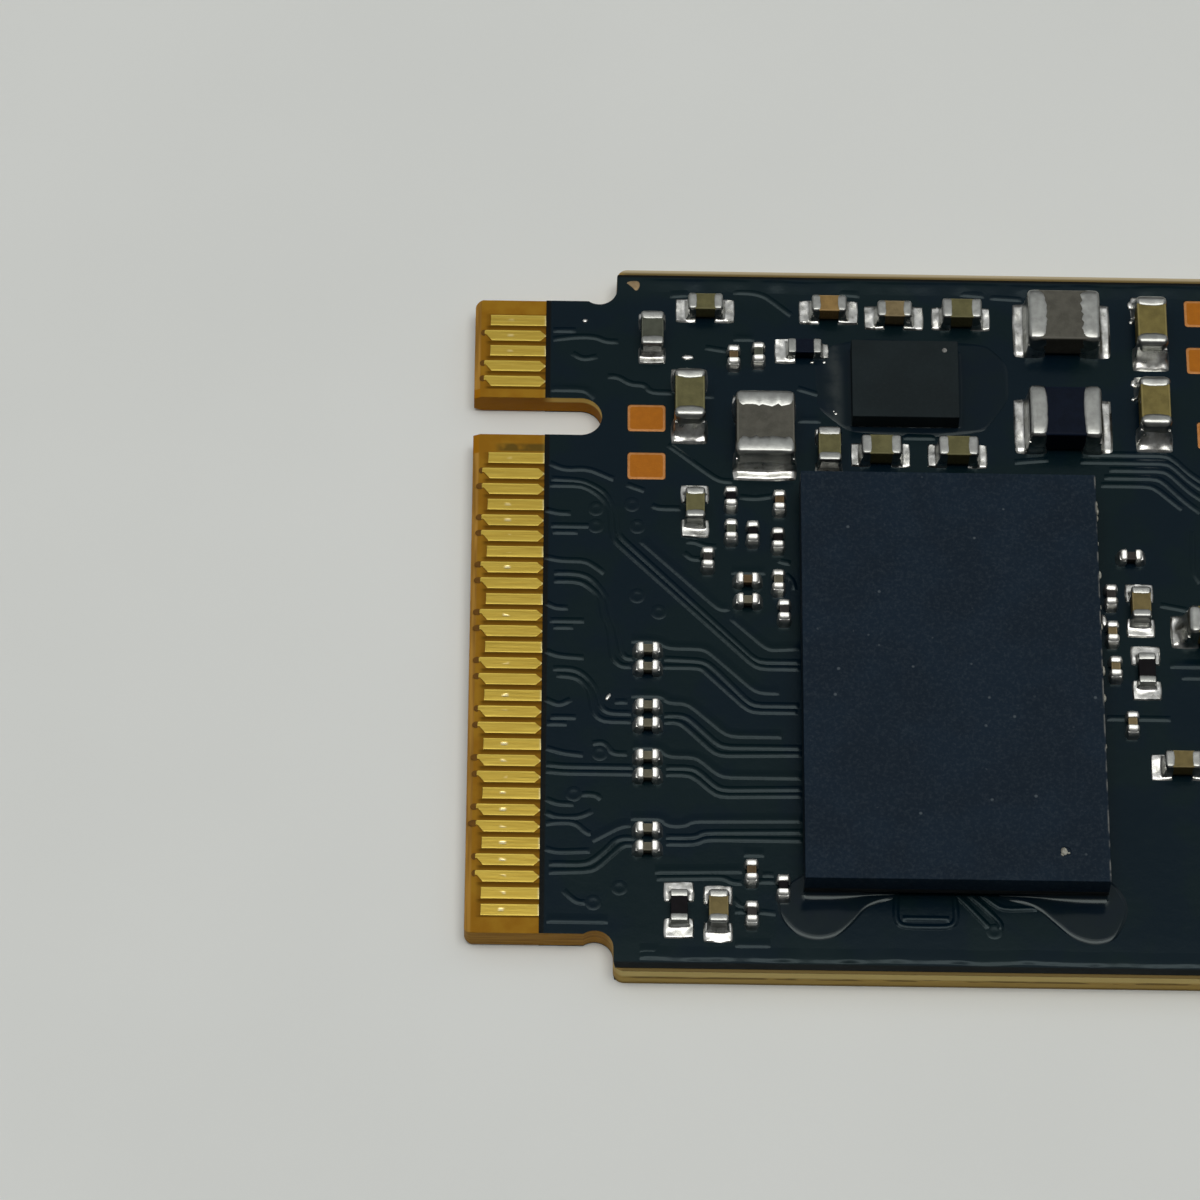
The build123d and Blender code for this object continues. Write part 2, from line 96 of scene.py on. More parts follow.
# Shader graphs
class Wire:
    """Output socket of a shader node, with operators that add Math nodes."""

    def __init__(self, graph: "Graph", socket: bpy.types.NodeSocket) -> None:
        """Keeps the socket and the graph that it belongs to."""
        self.graph = graph
        self.socket = socket

    def __add__(self, other: Number) -> "Wire":
        """Sum."""
        return self.graph.math("ADD", self, other)

    def __radd__(self, other: float) -> "Wire":
        """Sum with a number on the left."""
        return self.graph.math("ADD", other, self)

    def __sub__(self, other: Number) -> "Wire":
        """Difference."""
        return self.graph.math("SUBTRACT", self, other)

    def __rsub__(self, other: float) -> "Wire":
        """Difference from a number on the left."""
        return self.graph.math("SUBTRACT", other, self)

    def __mul__(self, other: Number) -> "Wire":
        """Product."""
        return self.graph.math("MULTIPLY", self, other)

    def __rmul__(self, other: float) -> "Wire":
        """Product with a number on the left."""
        return self.graph.math("MULTIPLY", other, self)

    def __truediv__(self, other: Number) -> "Wire":
        """Quotient."""
        return self.graph.math("DIVIDE", self, other)

    def __rtruediv__(self, other: float) -> "Wire":
        """Quotient of a number on the left."""
        return self.graph.math("DIVIDE", other, self)


class Graph:
    """Node tree of one material."""

    def __init__(self, name: str) -> None:
        """Starts an empty material.

        Args:
            name: Name of the material.
        """
        self.material = bpy.data.materials.new(name)
        self.material.use_nodes = True
        self.tree = self.material.node_tree
        self.tree.nodes.clear()

    def node(self, kind: str, settings: dict | None = None, inputs: dict | None = None) -> bpy.types.Node:
        """Adds one node.

        Args:
            kind: Node type, such as ShaderNodeMath.
            settings: Properties of the node, set before its sockets.
            inputs: Values or wires by socket name or index.

        Returns:
            The new node.
        """
        made = self.tree.nodes.new(kind)
        for key, value in (settings or {}).items():
            setattr(made, key, value)
        for key, value in (inputs or {}).items():
            socket = made.inputs[key]
            if isinstance(value, Wire):
                self.tree.links.new(value.socket, socket)
            else:
                socket.default_value = value
        return made

    def math(self, operation: str, *values: Number) -> Wire:
        """Math node of an operation on one, two or three values."""
        made = self.node("ShaderNodeMath", {"operation": operation}, dict(enumerate(values)))
        return Wire(self, made.outputs[0])

    def mix(self, share: Number, first: "Wire | Colour", second: "Wire | Colour") -> Wire:
        """Colour between two.

        Args:
            share: 0 for the first colour, 1 for the second.
            first: Colour, or the wire of one.
            second: Colour, or the wire of one.

        Returns:
            The mixed colour.
        """
        start, end = (c if isinstance(c, Wire) else (*c, 1.0) for c in (first, second))
        inputs = {MIX_SHARE: share, MIX_FIRST: start, MIX_SECOND: end}
        made = self.node("ShaderNodeMix", {"data_type": "RGBA"}, inputs)
        return Wire(self, made.outputs[MIX_RESULT])

    def place(self) -> Wire:
        """Point on the card in millimetres.

        Returns:
            The point, as a vector.
        """
        where = self.node("ShaderNodeTexCoord").outputs["Object"]
        inputs = {0: Wire(self, where), "Scale": 1 / MM}
        scaled = self.node("ShaderNodeVectorMath", {"operation": "SCALE"}, inputs)
        return Wire(self, scaled.outputs[0])

    def stretched(self, vector: Wire, factors: Colour) -> Wire:
        """Vector with each axis multiplied by its own factor."""
        made = self.node("ShaderNodeVectorMath", {"operation": "MULTIPLY"}, {0: vector, 1: factors})
        return Wire(self, made.outputs[0])

    def axes(self, vector: Wire) -> tuple[Wire, Wire, Wire]:
        """X, Y and Z of a vector.

        Args:
            vector: The vector.

        Returns:
            Its three numbers.
        """
        made = self.node("ShaderNodeSeparateXYZ", None, {0: vector})
        x, y, z = (Wire(self, socket) for socket in made.outputs)
        return x, y, z

    def upward(self) -> Wire:
        """How far the surface faces up, from 0 on an upright side to 1 on a flat top."""
        facing = self.node("ShaderNodeNewGeometry").outputs["Normal"]
        return self.axes(Wire(self, facing))[2]

    def noise(self, vector: Wire, waves: float, detail: float = 2.0, rough: float = 0.5) -> Wire:
        """Noise from 0 to 1, at so many waves to the millimetre."""
        inputs = {"Vector": vector, "Scale": waves, "Detail": detail, "Roughness": rough}
        return Wire(self, self.node("ShaderNodeTexNoise", None, inputs).outputs[0])

    def grains(self, vector: Wire, waves: float) -> Wire:
        """Distance to the nearest of scattered points, for specks."""
        made = self.node("ShaderNodeTexVoronoi", None, {"Vector": vector, "Scale": waves})
        return Wire(self, made.outputs["Distance"])

    def step(self, value: Wire, low: float, high: float) -> Wire:
        """Smooth rise over a span.

        Args:
            value: Number that is tested.
            low: Where the rise starts, at 0.
            high: Where it ends, at 1.

        Returns:
            The rise.
        """
        settings = {"interpolation_type": "SMOOTHSTEP"}
        made = self.node("ShaderNodeMapRange", settings, {"Value": value, "From Min": low, "From Max": high})
        return Wire(self, made.outputs[0])

    def beside(self, value: Wire, target: float, span: Span) -> Wire:
        """1 near a target, falling to 0 over a span of distances from it."""
        return 1 - self.step(self.math("ABSOLUTE", value - target), *span)

    def bump(self, height: Wire, depth: float, strength: float = 1.0) -> Wire:
        """Normal from a height of so many millimetres."""
        inputs = {"Height": height, "Distance": depth * MM, "Strength": strength}
        return Wire(self, self.node("ShaderNodeBump", None, inputs).outputs[0])

    def surface(self, **sockets: "Number | Colour") -> bpy.types.Material:
        """Closes the graph with one shader.

        Args:
            sockets: Shader inputs, with underscores for spaces.

        Returns:
            The finished material.
        """
        inputs = {}
        for key, value in sockets.items():
            name = key.replace("_", " ")
            inputs[name] = (*value, 1.0) if isinstance(value, tuple) else value
        shader = self.node("ShaderNodeBsdfPrincipled", None, inputs)
        self.node("ShaderNodeOutputMaterial", None, {"Surface": Wire(self, shader.outputs[0])})
        return self.material


# Finishes
class Finish(Protocol):
    """Anything that builds its own material."""

    def material(self) -> bpy.types.Material:
        """Builds the node material."""


def toned(colour: Colour, share: float) -> Colour:
    """Colour with each of its parts multiplied by a share."""
    return tuple(share * part for part in colour)


@dataclass(frozen=True)
class LaminateFinish:
    """Amber glass laminate: layers and painted top shade on its cut edges, painted shade between contacts, a
    smear beside the notch, a painted highlight on its lip.
    """

    resin: Colour = (0.28, 0.128, 0.0080)
    pale: Colour = (0.33, 0.170, 0.0135)
    bevel: Colour = (0.360, 0.215, 0.0560)
    bevel_span: Span = (0.08, 0.16)
    tongue_span: Span = (9.42, 9.5)
    finger_pitch: float = 0.5
    finger_front: float = 0.075
    # Painted shade in the gaps between the contacts, darkest next to each contact's front edge
    gap_painted_shade: Colour = (0.100, 0.043, 0.0008)
    gap_span: Span = (0.08, 0.3)
    gap_start: Span = (0.24, 0.42)
    gap_fall: float = 0.55
    gap_share: float = 0.9
    smear: Colour = (0.095, 0.062, 0.0110)
    smear_at: float = 5.10
    smear_half: Span = (0.08, 0.17)
    smear_start: Span = (0.55, 0.85)
    smear_share: float = 0.85
    edge: Colour = (0.430, 0.285, 0.078)
    split: Colour = (0.50, 0.345, 0.098)
    upper: Colour = (0.64, 0.49, 0.182)
    upper_span: Span = (0.40, 0.5)
    # Dark of the layer lines, also used for painted shade along the top of the cut edges and for their darker
    # foot
    layer_and_shade: Colour = (0.075, 0.045, 0.012)
    layer_height: float = 0.39
    layer_half: Span = (0.03, 0.075)
    layer_share: float = 0.65
    foot_span: Span = (0.06, 0.16)
    foot_share: float = 0.5
    shoulder_span: Span = (3.7, 4.3)
    top_span: Span = (0.735, 0.77)
    # Painted shade: how strongly the top band of the cut edges is darkened
    rim_shade: float = 0.85
    far_edge: Colour = (0.50, 0.42, 0.27)
    far_span: Span = (10.86, 10.96)
    wall: Colour = (0.430, 0.225, 0.0400)
    wall_dark: Colour = (0.260, 0.130, 0.0220)
    notch_wall: Colour = (0.330, 0.135, 0.0045)
    notch_at: float = 5.965
    notch_half: Span = (1.02, 1.05)
    # Painted highlight along the top of the notch's walls
    notch_lip_highlight: Colour = (0.76, 0.54, 0.140)
    lip_highlight_start: Span = (1.9, 2.3)
    lip_highlight_span: Span = (0.50, 0.60)

    def material(self) -> bpy.types.Material:
        """Builds the node material.

        Returns:
            The finished material.
        """
        graph = Graph("amber_laminate")
        place = graph.place()
        x, y, z = graph.axes(place)
        from_nose = x - NOSE
        by_notch = graph.beside(y, self.notch_at, self.notch_half)
        behind = graph.step(from_nose, *self.shoulder_span)
        high = graph.step(z, *self.top_span)
        cloud = graph.noise(place, waves=1.6, detail=3.0)
        resin = graph.mix(graph.step(cloud, 0.35, 0.7), self.resin, self.pale)
        on_tongue = (1 - graph.step(graph.math("ABSOLUTE", y), *self.tongue_span)) * (1 - by_notch)
        # Painted shade between the contacts, from a little way back from the nose
        pitch_share = graph.math("FRACT", (y + (Y_SHIFT - self.finger_front)) / self.finger_pitch)
        shade = 1 - self.gap_fall * graph.step(1 - pitch_share, *self.gap_span)
        shade = shade * graph.step(from_nose, *self.gap_start)
        resin = graph.mix(shade * on_tongue * self.gap_share, resin, self.gap_painted_shade)
        pale_edge = 1 - graph.step(from_nose, *self.bevel_span)
        resin = graph.mix(pale_edge * graph.step(cloud, 0.3, 0.6), resin, self.bevel)
        smear = graph.beside(y, self.smear_at, self.smear_half) * graph.step(from_nose, *self.smear_start)
        smear = smear * graph.step(graph.noise(place, waves=2.2), 0.1, 0.42)
        resin = graph.mix(smear * self.smear_share, resin, self.smear)
        dashes = graph.noise(graph.stretched(place, (1.3, 1.3, 6.0)), waves=1.0, detail=1.0)
        stripe = graph.beside(z, self.layer_height, self.layer_half) * graph.step(dashes, 0.46, 0.56)
        fine = graph.noise(graph.stretched(place, (0.5, 0.5, 18.0)), waves=1.0)
        edge = graph.mix(graph.step(fine, 0.3, 0.75), self.edge, self.split)
        edge = graph.mix(graph.step(z, *self.upper_span), edge, self.upper)
        # Darker towards the bottom of the cut edges
        foot = 1 - graph.step(z, *self.foot_span)
        lines = graph.math("MAXIMUM", stripe * self.layer_share, foot * self.foot_share)
        edge = graph.mix(lines, edge, self.layer_and_shade)
        wall = graph.mix(graph.step(fine, 0.35, 0.7), self.wall, self.wall_dark)
        wall = graph.mix(by_notch, wall, self.notch_wall)
        side = graph.mix(behind, wall, edge)
        # Painted shade along the top band of the cut edges behind the shoulder
        side = graph.mix(high * behind * self.rim_shade, side, self.layer_and_shade)
        side = graph.mix(graph.step(y, *self.far_span), side, self.far_edge)
        colour = graph.mix(high * (1 - behind), side, resin)
        # Painted highlight on the upper part of the notch's walls, away from the nose
        lip = by_notch * graph.step(from_nose, *self.lip_highlight_start) * graph.step(z, *self.lip_highlight_span)
        colour = graph.mix(lip, colour, self.notch_lip_highlight)
        weave = graph.noise(place, waves=9.0, detail=3.0)
        return graph.surface(
            Base_Color=colour,
            Roughness=0.38 + 0.2 * cloud,
            Normal=graph.bump(weave, depth=0.006),
            Specular_IOR_Level=0.04,
        )


@dataclass(frozen=True)
class MaskFinish:
    """Dark blue-black solder mask, slightly glossy, a little greener over bare laminate, with painted sheen
    near its long edges and painted shadow at its edges.
    """

    over_copper: Colour = (0.0012, 0.0068, 0.0130)
    over_resin: Colour = (0.0015, 0.0080, 0.0106)
    # Greener tint over bare laminate near the long edges, partly a painted sheen
    border: Colour = (0.0190, 0.0300, 0.0320)
    tint_and_sheen_span: Span = (9.6, 10.6)
    tint_and_sheen_share: float = 0.15
    # Painted shadow: near-black line along the mask's long edges and along its edge on the tongue
    rim: Colour = (0.0022, 0.0012, 0.0006)
    edge_shadow_span: Span = (10.70, 10.78)
    tongue: float = 2.05
    tongue_shadow_span: Span = (0.05, 0.12)
    glint: Colour = (0.78, 0.98, 1.0)

    def material(self) -> bpy.types.Material:
        """Builds the node material.

        Returns:
            The finished material.
        """
        graph = Graph("dark_solder_mask")
        place = graph.place()
        patches = graph.noise(place, waves=0.55)
        colour = graph.mix(graph.step(patches, 0.42, 0.58), self.over_copper, self.over_resin)
        x, y, _ = graph.axes(place)
        aside = graph.math("ABSOLUTE", y)
        # Greener tint and painted sheen towards the long edges
        colour = graph.mix(graph.step(aside, *self.tint_and_sheen_span) * self.tint_and_sheen_share, colour, self.border)
        # Painted shadow along the mask's long edges
        colour = graph.mix(graph.step(aside, *self.edge_shadow_span), colour, self.rim)
        # Painted shadow along the mask's edge on the tongue
        inward = x - (NOSE + self.tongue)
        colour = graph.mix(1 - graph.step(inward, *self.tongue_shadow_span), colour, self.rim)
        peel = graph.noise(place, waves=3.5)
        dust = graph.noise(place, waves=14.0)
        return graph.surface(
            Base_Color=colour,
            Roughness=0.17 + 0.12 * patches,
            Normal=graph.bump(peel * 0.75 + dust * 0.25, depth=0.012, strength=0.5),
            Specular_IOR_Level=0.165,
            Specular_Tint=self.glint,
        )


@dataclass(frozen=True)
class GoldFinish:
    """Hard gold, drawn out in fine lines along the contacts, rubbed where they are wiped and painted pale
    there as glints, with painted highlights along their edges.
    """

    gold: Colour = (0.51, 0.370, 0.064)
    deep: Colour = (0.43, 0.298, 0.045)
    pitch: float = 0.5
    first_at: float = 0.25
    # Wipe marks: real wear, painted pale as bright glints
    rubbed_and_highlit: Colour = (0.98, 0.86, 0.50)
    rubbed_and_highlit_share: float = 0.9
    wipe_at: float = 1.0
    wipe_half: Span = (0.02, 0.13)
    fresh_span: Span = (1.0, 4.0)
    fresh_share: float = 0.7
    # Painted highlight along the contacts' rounded long edges
    lit_edge: Colour = (0.63, 0.475, 0.090)
    lit_span: Span = (0.115, 0.15)
    pale_end: Colour = (0.80, 0.72, 0.42)
    end_span: Span = (1.93, 2.03)
    end_share: float = 0.7

    def material(self) -> bpy.types.Material:
        """Builds the node material.

        Returns:
            The finished material.
        """
        graph = Graph("contact_gold")
        place = graph.place()
        x, y, _ = graph.axes(place)
        lines = graph.noise(graph.stretched(place, (0.9, 16.0, 1.0)), waves=1.0, detail=3.0)
        pores = graph.noise(place, waves=18.0)
        tone = graph.mix(graph.step(lines, 0.3, 0.75), self.deep, self.gold)
        chance = graph.noise(graph.stretched(place, (2.0, 3.0, 1.0)), waves=1.0, detail=1.0)
        # Wipe marks near the middle of each contact, painted pale as glints
        near = graph.beside(x, NOSE + self.wipe_at, self.wipe_half)
        swing = graph.math("COSINE", (y - self.first_at) * (2 * math.pi / self.pitch))
        wiped = graph.step(chance, 0.45, 0.58) * (1 - graph.step(y, *self.fresh_span) * self.fresh_share)
        wipe = near * wiped * graph.step(swing, 0.72, 0.98)
        # Painted highlight along both long edges of each contact
        pitch_share = graph.math("FRACT", (y + Y_SHIFT) / self.pitch)
        off_centre = graph.math("ABSOLUTE", pitch_share - 0.5) * self.pitch
        tone = graph.mix(graph.step(off_centre, *self.lit_span), tone, self.lit_edge)
        at_end = graph.step(x - NOSE, *self.end_span)
        tone = graph.mix(at_end * self.end_share, tone, self.pale_end)
        return graph.surface(
            Base_Color=graph.mix(wipe * self.rubbed_and_highlit_share, tone, self.rubbed_and_highlit),
            Metallic=0.9,
            Roughness=0.36 - 0.18 * wipe + 0.1 * pores,
            Normal=graph.bump(lines * 0.7 + pores * 0.3 - wipe * 0.9, depth=0.009, strength=0.7),
        )


@dataclass(frozen=True)
class CopperFinish:
    """Bare copper, dulled to orange or tarnished to brown."""

    name: str = "bare_copper"
    copper: Colour = (0.42, 0.140, 0.0060)
    dull: Colour = (0.37, 0.120, 0.0050)

    def material(self) -> bpy.types.Material:
        """Builds the node material.

        Returns:
            The finished material.
        """
        graph = Graph(self.name)
        place = graph.place()
        cloud = graph.noise(place, waves=5.0, detail=4.0, rough=0.65)
        grain = graph.noise(place, waves=30.0)
        return graph.surface(
            Base_Color=graph.mix(graph.step(cloud, 0.35, 0.7), self.dull, self.copper),
            Metallic=0.35,
            Roughness=0.42 + 0.2 * cloud,
            Normal=graph.bump(grain, depth=0.004),
            Specular_IOR_Level=0.2,
        )


class MouldTone(Enum):
    """Moulded packages: base, speck, and where an edge is worn pale with a painted highlight, from the nose
    and the floor, if it is.
    """

    SLATE = ((0.0029, 0.0124, 0.0252), (0.075, 0.095, 0.110), (17.25, 1.85))
    CHARCOAL = ((0.0086, 0.0152, 0.0172), (0.026, 0.034, 0.036), None)


@dataclass(frozen=True)
class MouldFinish:
    """Fine-grained matt moulding compound with a few pale specks."""

    tone: MouldTone
    cloud_share: float = 0.82
    grain_share: float = 0.22
    speck_share: float = 0.8
    # Pale wear and painted highlight along the controller's right top edge
    wear_and_highlight: Colour = (0.17, 0.175, 0.165)
    pale_edge_half: float = 0.03
    pale_edge_deep: float = 0.16
    pale_edge_full: float = 0.4

    def material(self) -> bpy.types.Material:
        """Builds the node material.

        Returns:
            The finished material.
        """
        base, speck, rubbed_and_highlit = self.tone.value
        graph = Graph("mould_" + self.tone.name.lower())
        place = graph.place()
        grain = graph.noise(place, waves=11.0, detail=4.0, rough=0.7)
        cloud = graph.noise(place, waves=0.7)
        specks = 1 - graph.step(graph.grains(place, waves=1.7), 0.045, 0.10)
        kept = graph.step(graph.noise(place, waves=1.3), 0.50, 0.58)
        colour = graph.mix(graph.step(cloud, 0.35, 0.65), base, toned(base, self.cloud_share))
        pale = graph.step(grain, 0.42, 0.78) * self.grain_share + specks * kept * self.speck_share
        colour = graph.mix(pale, colour, speck)
        # Pale wear and painted highlight along the right top edge
        if rubbed_and_highlit:
            edge, top = NOSE + rubbed_and_highlit[0], rubbed_and_highlit[1]
            x, _, z = graph.axes(place)
            pale_edge = graph.step(x, edge - self.pale_edge_half, edge + self.pale_edge_half)
            pale_edge = pale_edge * graph.step(z, top - self.pale_edge_deep, top - self.pale_edge_full * self.pale_edge_deep)
            patchy = graph.step(graph.noise(place, waves=2.6, detail=3.0), 0.42, 0.62)
            colour = graph.mix(pale_edge * patchy, colour, self.wear_and_highlight)
        return graph.surface(
            Base_Color=colour,
            Roughness=0.5 + 0.22 * grain,
            Normal=graph.bump(grain, depth=0.010, strength=0.8),
            Specular_IOR_Level=0.12,
        )


@dataclass(frozen=True)
class SubstrateFinish:
    """Thin dark package substrate, sawn at its edge."""

    body: Colour = (0.006, 0.008, 0.009)
    sawn: Colour = (0.020, 0.022, 0.020)

    def material(self) -> bpy.types.Material:
        """Builds the node material.

        Returns:
            The finished material.
        """
        graph = Graph("package_substrate")
        layers = graph.noise(graph.stretched(graph.place(), (0.8, 0.8, 22.0)), waves=1.0)
        return graph.surface(
            Base_Color=graph.mix(graph.step(layers, 0.5, 0.7), self.body, self.sawn),
            Roughness=0.5 + 0.2 * layers,
            Normal=graph.bump(layers, depth=0.006),
            Specular_IOR_Level=0.3,
        )


class MetalTone(Enum):
    """Silvery metals: colour, dull colour, roughness and its swing."""

    SOLDER = ((0.80, 0.80, 0.77), (0.50, 0.50, 0.46), 0.20, 0.20)
    TIN = ((0.41, 0.42, 0.395), (0.33, 0.335, 0.315), 0.25, 0.12)
    SATIN = ((0.84, 0.84, 0.80), (0.64, 0.64, 0.60), 0.40, 0.10)
    FINE = ((0.82, 0.82, 0.79), (0.58, 0.58, 0.54), 0.29, 0.12)
    # Near-black metal that paints shade
    SHADED = ((0.060, 0.060, 0.056), (0.040, 0.040, 0.038), 0.45, 0.10)


@dataclass(frozen=True)
class SilverFinish:
    """Bright solder or matt tin, cloudy and finely grained."""

    tone: MetalTone

    def material(self) -> bpy.types.Material:
        """Builds the node material.

        Returns:
            The finished material.
        """
        bright, dull, rough, swing = self.tone.value
        graph = Graph("metal_" + self.tone.name.lower())
        place = graph.place()
        cloud = graph.noise(place, waves=4.5, detail=3.0, rough=0.6)
        grain = graph.noise(place, waves=26.0, detail=3.0, rough=0.6)
        return graph.surface(
            Base_Color=graph.mix(graph.step(cloud, 0.3, 0.7), dull, bright),
            Metallic=1.0,
            Roughness=rough + swing * cloud,
            Normal=graph.bump(grain * 0.4 + cloud * 0.6, depth=0.010, strength=0.5),
        )


class CeramicTone(Enum):
    """Body colours of the chip parts."""

    OLIVE = (0.150, 0.140, 0.063)
    KHAKI = (0.202, 0.166, 0.056)
    TAN = (0.188, 0.148, 0.061)
    AMBER = (0.315, 0.202, 0.074)
    RUST = (0.232, 0.178, 0.091)
    GREY = (0.088, 0.095, 0.072)
    BROWN = (0.130, 0.088, 0.045)
    UMBER = (0.150, 0.140, 0.100)
    FERRITE = (0.106, 0.103, 0.085)
    INK = (0.0046, 0.0082, 0.0182)
    BLACK = (0.0080, 0.0070, 0.0085)
    DUSK = (0.045, 0.042, 0.040)


@dataclass(frozen=True)
class CeramicFinish:
    """Fired ceramic, ferrite or glazed resistor body, with painted shade at its foot and sides and a painted
    highlight on its upper edges.
    """

    tone: CeramicTone
    cloud_share: float = 0.72
    grain_light: float = 1.22
    grain_share: float = 0.6
    # Painted shade at the foot and on the upright sides, as a share of the base
    painted_shade_share: float = 0.2
    foot_span: Span = (0.04, 0.26)
    side_span: Span = (0.2, 0.55)
    side_shade: float = 0.65
    edge_rise: Span = (0.3, 0.6)
    edge_fall: Span = (0.88, 0.985)
    edge_light: float = 0.45
    # Painted highlight on the rounded upper edges: share of the base and added grey
    edge_highlight_share: float = 1.9
    edge_highlight_grey: float = 0.3

    def material(self) -> bpy.types.Material:
        """Builds the node material.

        Returns:
            The finished material.
        """
        base = self.tone.value
        grey = self.edge_highlight_grey * sum(base) / len(base)
        pale_edge = tuple(self.edge_highlight_share * part + grey for part in base)
        painted_shade = toned(base, self.painted_shade_share)
        graph = Graph("ceramic_" + self.tone.name.lower())
        place = graph.place()
        cloud = graph.noise(place, waves=3.2, detail=3.0, rough=0.6)
        grain = graph.noise(place, waves=24.0, detail=3.0, rough=0.7)
        _, _, z = graph.axes(place)
        # Painted shade, darker towards the foot
        foot = 1 - graph.step(z, *(CARD_TOP + height for height in self.foot_span))
        colour = graph.mix(graph.step(cloud, 0.3, 0.7), toned(base, self.cloud_share), base)
        colour = graph.mix(foot, colour, painted_shade)
        rise = graph.upward()
        # Painted shade on the upright sides
        colour = graph.mix((1 - graph.step(rise, *self.side_span)) * self.side_shade, colour, painted_shade)
        # Painted highlight on the rounded upper edges
        edge = graph.step(rise, *self.edge_rise) * (1 - graph.step(rise, *self.edge_fall)) * (1 - foot)
        colour = graph.mix(edge * self.edge_light, colour, pale_edge)
        fleck = graph.step(grain, 0.5, 0.8) * self.grain_share
        return graph.surface(
            Base_Color=graph.mix(fleck, colour, toned(base, self.grain_light)),
            Roughness=0.42 + 0.2 * grain,
            Normal=graph.bump(grain, depth=0.006, strength=0.7),
            Specular_IOR_Level=0.06,
        )


@dataclass(frozen=True)
class AdhesiveFinish:
    """Clear glossy adhesive that takes the colour of the mask under it."""

    deep: Colour = (0.0022, 0.0070, 0.0135)
    thin: Colour = (0.0026, 0.0080, 0.0120)
    glint: Colour = (0.88, 1.0, 0.97)
    haze: Colour = (0.033, 0.041, 0.043)
    gloss: float = 0.26
    cloud_at: Point2 = (0.0, 0.0)
    cloud_start: float = 0.12
    cloud_reach: float = 0.0
    cloud_end: float = 0.85

    def material(self) -> bpy.types.Material:
        """Builds the node material.

        Returns:
            The finished material.
        """
        graph = Graph("clouded_adhesive" if self.cloud_reach else "clear_adhesive")
        place = graph.place()
        lumps = graph.noise(place, waves=1.5)
        film = graph.mix(graph.step(lumps, 0.35, 0.65), self.deep, self.thin)
        if self.cloud_reach:
            x, y, _ = graph.axes(place)
            left = graph.math("MAXIMUM", NOSE + self.cloud_at[0] - x, 0.0)
            front = graph.math("MAXIMUM", self.cloud_at[1] - y, 0.0)
            away = graph.math("SQRT", left * left + front * front)
            band = graph.step(away, self.cloud_start, self.cloud_reach)
            band = band * (1 - graph.step(away, self.cloud_reach, self.cloud_end))
            patchy = graph.step(graph.noise(place, waves=1.6, detail=3.0), 0.25, 0.6)
            film = graph.mix(band * patchy, film, self.haze)
        return graph.surface(
            Base_Color=film,
            Roughness=0.10 + 0.08 * lumps,
            Normal=graph.bump(lumps, depth=0.02, strength=0.15),
            Specular_IOR_Level=self.gloss,
            Specular_Tint=self.glint,
        )


@dataclass(frozen=True)
class ResidueFinish:
    """Pale crumbs of flux and sawing dust, or pale print."""

    pale: Colour = (0.36, 0.36, 0.31)
    dirty: Colour = (0.16, 0.155, 0.125)

    def material(self) -> bpy.types.Material:
        """Builds the node material.

        Returns:
            The finished material.
        """
        graph = Graph("residue_%03d" % round(1000 * self.pale[0]))
        cloud = graph.noise(graph.place(), waves=9.0, detail=3.0)
        return graph.surface(
            Base_Color=graph.mix(graph.step(cloud, 0.35, 0.65), self.dirty, self.pale),
            Roughness=0.45 + 0.3 * cloud,
        )


@dataclass(frozen=True)
class FloorFinish:
    """Plain pale table top."""

    pale: Colour = (0.77, 0.79, 0.765)
    shade: Colour = (0.745, 0.765, 0.74)

    def material(self) -> bpy.types.Material:
        """Builds the node material.

        Returns:
            The finished material.
        """
        graph = Graph("pale_floor")
        place = graph.place()
        cloud = graph.noise(place, waves=0.06, detail=3.0)
        tooth = graph.noise(place, waves=1.2, detail=3.0)
        return graph.surface(
            Base_Color=graph.mix(graph.step(cloud, 0.3, 0.7), self.shade, self.pale),
            Roughness=0.62 + 0.1 * tooth,
            Normal=graph.bump(tooth, depth=0.02, strength=0.4),
            Specular_IOR_Level=0.25,
        )


@dataclass
class Palette:
    """Materials made once and shared by the pieces."""

    made: dict = field(default_factory=dict)

    def get(self, finish: Finish) -> bpy.types.Material:
        """Material of a finish.

        Args:
            finish: The finish.

        Returns:
            Its material, built at the first use.
        """
        if finish not in self.made:
            self.made[finish] = finish.material()
        return self.made[finish]


# Meshes
@dataclass(frozen=True)
class Box:
    """Lowest and highest corner of a solid, in millimetres."""

    low: Vector
    high: Vector

    @property
    def centre(self) -> Vector:
        """Middle of the box."""
        return (self.low + self.high) / 2

    @property
    def size(self) -> Vector:
        """Edge lengths of the box."""
        return self.high - self.low

    def meets(self, other: "Box", slack: float = SLACK) -> bool:
        """Whether two boxes share space."""
        return all(
            self.low[i] < other.high[i] - slack and other.low[i] < self.high[i] - slack for i in range(3)
        )


@dataclass
class Solids:
    """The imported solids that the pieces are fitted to."""

    nodes: dict

    def box(self, node: str) -> Box:
        """Box of a whole node."""
        low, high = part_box(node)
        return Box(low / MM, high / MM)

    def each(self, node: str) -> list[Box]:
        """Boxes of the separate solids of a node, in the order of its faces.

        Args:
            node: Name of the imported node.

        Returns:
            One box for each solid.
        """
        mesh = self.nodes[node].data
        key = [tuple(round(c / MM, 4) for c in vertex.co) for vertex in mesh.vertices]
        parent = {place: place for place in key}

        def root(place: tuple) -> tuple:
            """First place of the chain that a place belongs to.

            Args:
                place: Rounded place of a vertex.

            Returns:
                The place that stands for its solid.
            """
            while parent[place] != place:
                parent[place] = parent[parent[place]]
                place = parent[place]
            return place

        for polygon in mesh.polygons:
            first = root(key[polygon.vertices[0]])
            for index in polygon.vertices[1:]:
                parent[root(key[index])] = first
        groups: dict[tuple, list[tuple]] = {}
        for polygon in mesh.polygons:
            for index in polygon.vertices:
                groups.setdefault(root(key[index]), []).append(key[index])
        boxes = []
        for places in groups.values():
            axes = list(zip(*places))
            boxes.append(Box(Vector(map(min, axes)), Vector(map(max, axes))))
        return boxes


